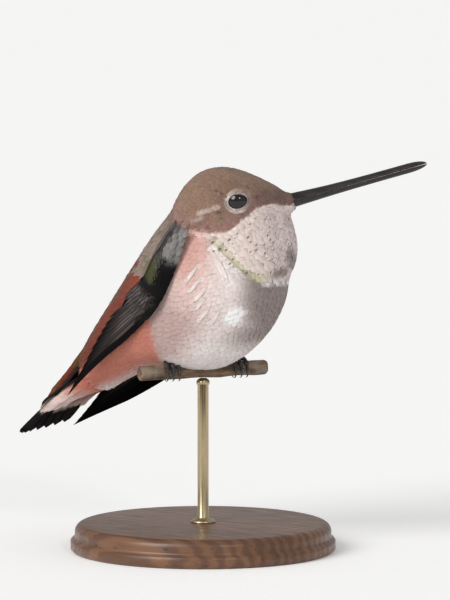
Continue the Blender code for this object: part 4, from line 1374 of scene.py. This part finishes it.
def make_stand(wood, metal, bark):
    """The round base with a small moulding, the rod with its collar, and the twig."""

    def turned(name, profile, around):
        rings = [ring(UP * height, AHEAD, ACROSS, radius, radius, around) for radius, height in profile]
        return outward(new_mesh(name, *loft(rings)))

    low, high = (np.array(c) / MM - [0, 0, LIFT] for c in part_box("stand_base"))
    radius, floor, top = (high[0] - low[0]) / 2, low[2], high[2]
    foot = (0.4, 0.0), (0.0, 0.4), (0.0, 1.5), (0.15, 1.7), (0.55, 1.9), (0.6, 2.2)  # inwards and up
    profile = [(radius - inwards, floor + rise) for inwards, rise in foot]
    for t in np.linspace(0, math.pi / 2, 8):
        profile.append((radius - 0.6 - 1.2 * (1 - math.cos(t)), top - 1.2 * (1 - math.sin(t))))
    profile += [(2.0, top), (0.82, top), (0.82, top - 2.3)]
    add_piece("stand_base_turned", turned("base", profile, 160), wood, "stand_wood", "stand_base")

    rod_low, rod_high = (c[2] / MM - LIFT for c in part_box("stand_rod"))
    collar = (0.78, -0.02), (1.75, -0.02), (1.8, 0.15), (1.55, 0.4), (1.0, 0.55), (0.8, 0.9)  # radius, height
    holder = (0.8, -0.7), (0.95, -0.6), (0.95, -0.2), (0.8, 0.05), (0.5, 0.28)
    profile = [(0.78, rod_low)] + [(radius, top + rise) for radius, rise in collar]
    profile += [(radius, rod_high + rise) for radius, rise in holder]
    add_piece("stand_rod_turned", turned("rod", profile, 48), metal, "stand_metal", "stand_rod")

    rings = []
    turns = np.linspace(0, 2 * math.pi, 40, endpoint=False)
    for reach in np.linspace(-PERCH_LENGTH / 2, PERCH_LENGTH / 2, 90):
        swell = 0.05 * math.sin(reach * 0.9) + 0.16 * math.exp(-(((reach - 2.6) / 0.7) ** 2))
        edge = 0.12 * (abs(reach) > PERCH_LENGTH / 2 - 0.12)
        rough = 0.035 * np.sin(5 * turns + reach) + 0.02 * np.sin(11 * turns - 1.7 * reach)
        radius = (PERCH_RADIUS - 0.06 + (swell - edge) * 0.5 + rough)[:, None]
        rings.append(ring(PERCH_AXIS * reach + [0, 0, PERCH_AXLE], PERCH_FRONT, UP, radius, radius, 40))
    mesh = outward(new_mesh("twig", *loft(rings)))
    mesh.set_sharp_from_angle(angle=math.radians(50))
    add_piece("stand_twig", mesh, bark, "perch", "stand_perch")


# ---------------------------------------------------------------- studio


def make_studio():
    """The camera at the photo's angle, two suns, white surroundings and the floor."""
    scene = bpy.context.scene
    scene.view_settings.view_transform = "Standard"
    azimuth, elevation, distance = math.radians(32), math.radians(5), 0.6
    right = Vector((math.cos(azimuth), math.sin(azimuth), 0))
    level = math.cos(elevation)
    back = Vector((math.sin(azimuth) * level, -math.cos(azimuth) * level, math.sin(elevation)))
    up = back.cross(right)
    target = Vector((0, 0, LIFT * MM)) + right * 0.00314 + up * 0.00814
    camera = bpy.data.objects.new("camera", bpy.data.cameras.new("camera"))
    scene.collection.objects.link(camera)
    turn = Matrix((right, up, back)).transposed().to_4x4()
    camera.matrix_world = Matrix.Translation(target + back * distance) @ turn
    camera.data.lens, camera.data.sensor_width, camera.data.clip_start = 252, 36, 0.01
    scene.camera = camera

    def sun(name, way, angle, strength):
        light = bpy.data.objects.new(name, bpy.data.lights.new(name, "SUN"))
        light.data.angle, light.data.energy = math.radians(angle), strength
        direction = (right * way[0] + up * way[1] + back * way[2]).normalized()
        light.rotation_euler = direction.to_track_quat("Z", "Y").to_euler()
        scene.collection.objects.link(light)

    sun("key", (-0.80, 0.62, 0.85), 34, 2.0)
    sun("catch", (0.42, 0.50, 1.0), 9, 0.30)
    scene.world = bpy.data.worlds.new("studio")
    scene.world.use_nodes = True
    background = scene.world.node_tree.nodes["Background"].inputs
    background["Color"].default_value, background["Strength"].default_value = (1, 1, 1, 1), 0.46

    wide = 9.0
    mesh = bpy.data.meshes.new("floor")
    corners = [(-wide, -wide, 0), (wide, -wide, 0), (wide, wide, 0), (-wide, wide, 0)]
    mesh.from_pydata(corners, [], [(0, 1, 2, 3)])
    floor = bpy.data.objects.new("floor", mesh)
    mesh.materials.append(floor_surface())
    scene.collection.objects.link(floor)


# ---------------------------------------------------------------- all of it


def make_bird():
    plumage, long_plumage = plumage_surface("plumage", 15, 0.12), plumage_surface("long_plumage", 48, 0.02)
    down, flight = skin_surface(), flight_surface()
    wings = {side: wing_feathers(side) for side in HANG}
    parts = [(np.vstack(wing.points), np.vstack(wing.faces)) for wing in wings.values()]
    parts += [read_mesh(arm_mesh(side))[::2] for side in HANG]
    wing_tree = bvh_tree(*joined(*parts))
    skin, faces = make_skin(wing_tree)
    skin_piece(skin, faces, down)
    skin, faces = joined((skin, faces), eye_balls())
    skin_tree = bvh_tree(skin, faces)
    roots, radii = scatter(skin, faces)
    roots = relaxed(roots, radii, skin_tree)
    for name, vanes in body_coat(roots, radii, skin_tree, wing_tree).items():
        add_piece(name, vanes.mesh(name), plumage, COAT_SLOTS[name])
    for side, wing in wings.items():
        name = f"wing_{side}"
        nodes = f"{name}_primaries", f"{name}_secondaries"
        add_piece(f"{name}_quills", wing.mesh(name), flight, "flight_feather", *nodes)
        add_piece(f"{name}_arm", arm_mesh(side), down, "covert", f"{name}_coverts")
        add_piece(f"{name}_small_coverts", wing_coverts(side).mesh(f"{name}_small"), long_plumage, "covert")
    add_piece("tail_quills", tail_feathers().mesh("tail"), flight, "flight_feather", "tail")
    add_piece("tail_coverts", tail_coverts().mesh("tail_coverts"), long_plumage, "plumage_rufous")
    add_piece("flank_highlight_plumes", flank_highlight_plumes(skin_tree).mesh("flank_highlight_plumes"), long_plumage, "plumage_pale")
    make_bill(bill_surface())
    make_eyes(eye_surface(), down)
    make_feet(foot_surface(), claw_surface())
    make_stand(walnut_surface(), brass_surface(), bark_surface())


make_studio()
make_bird()
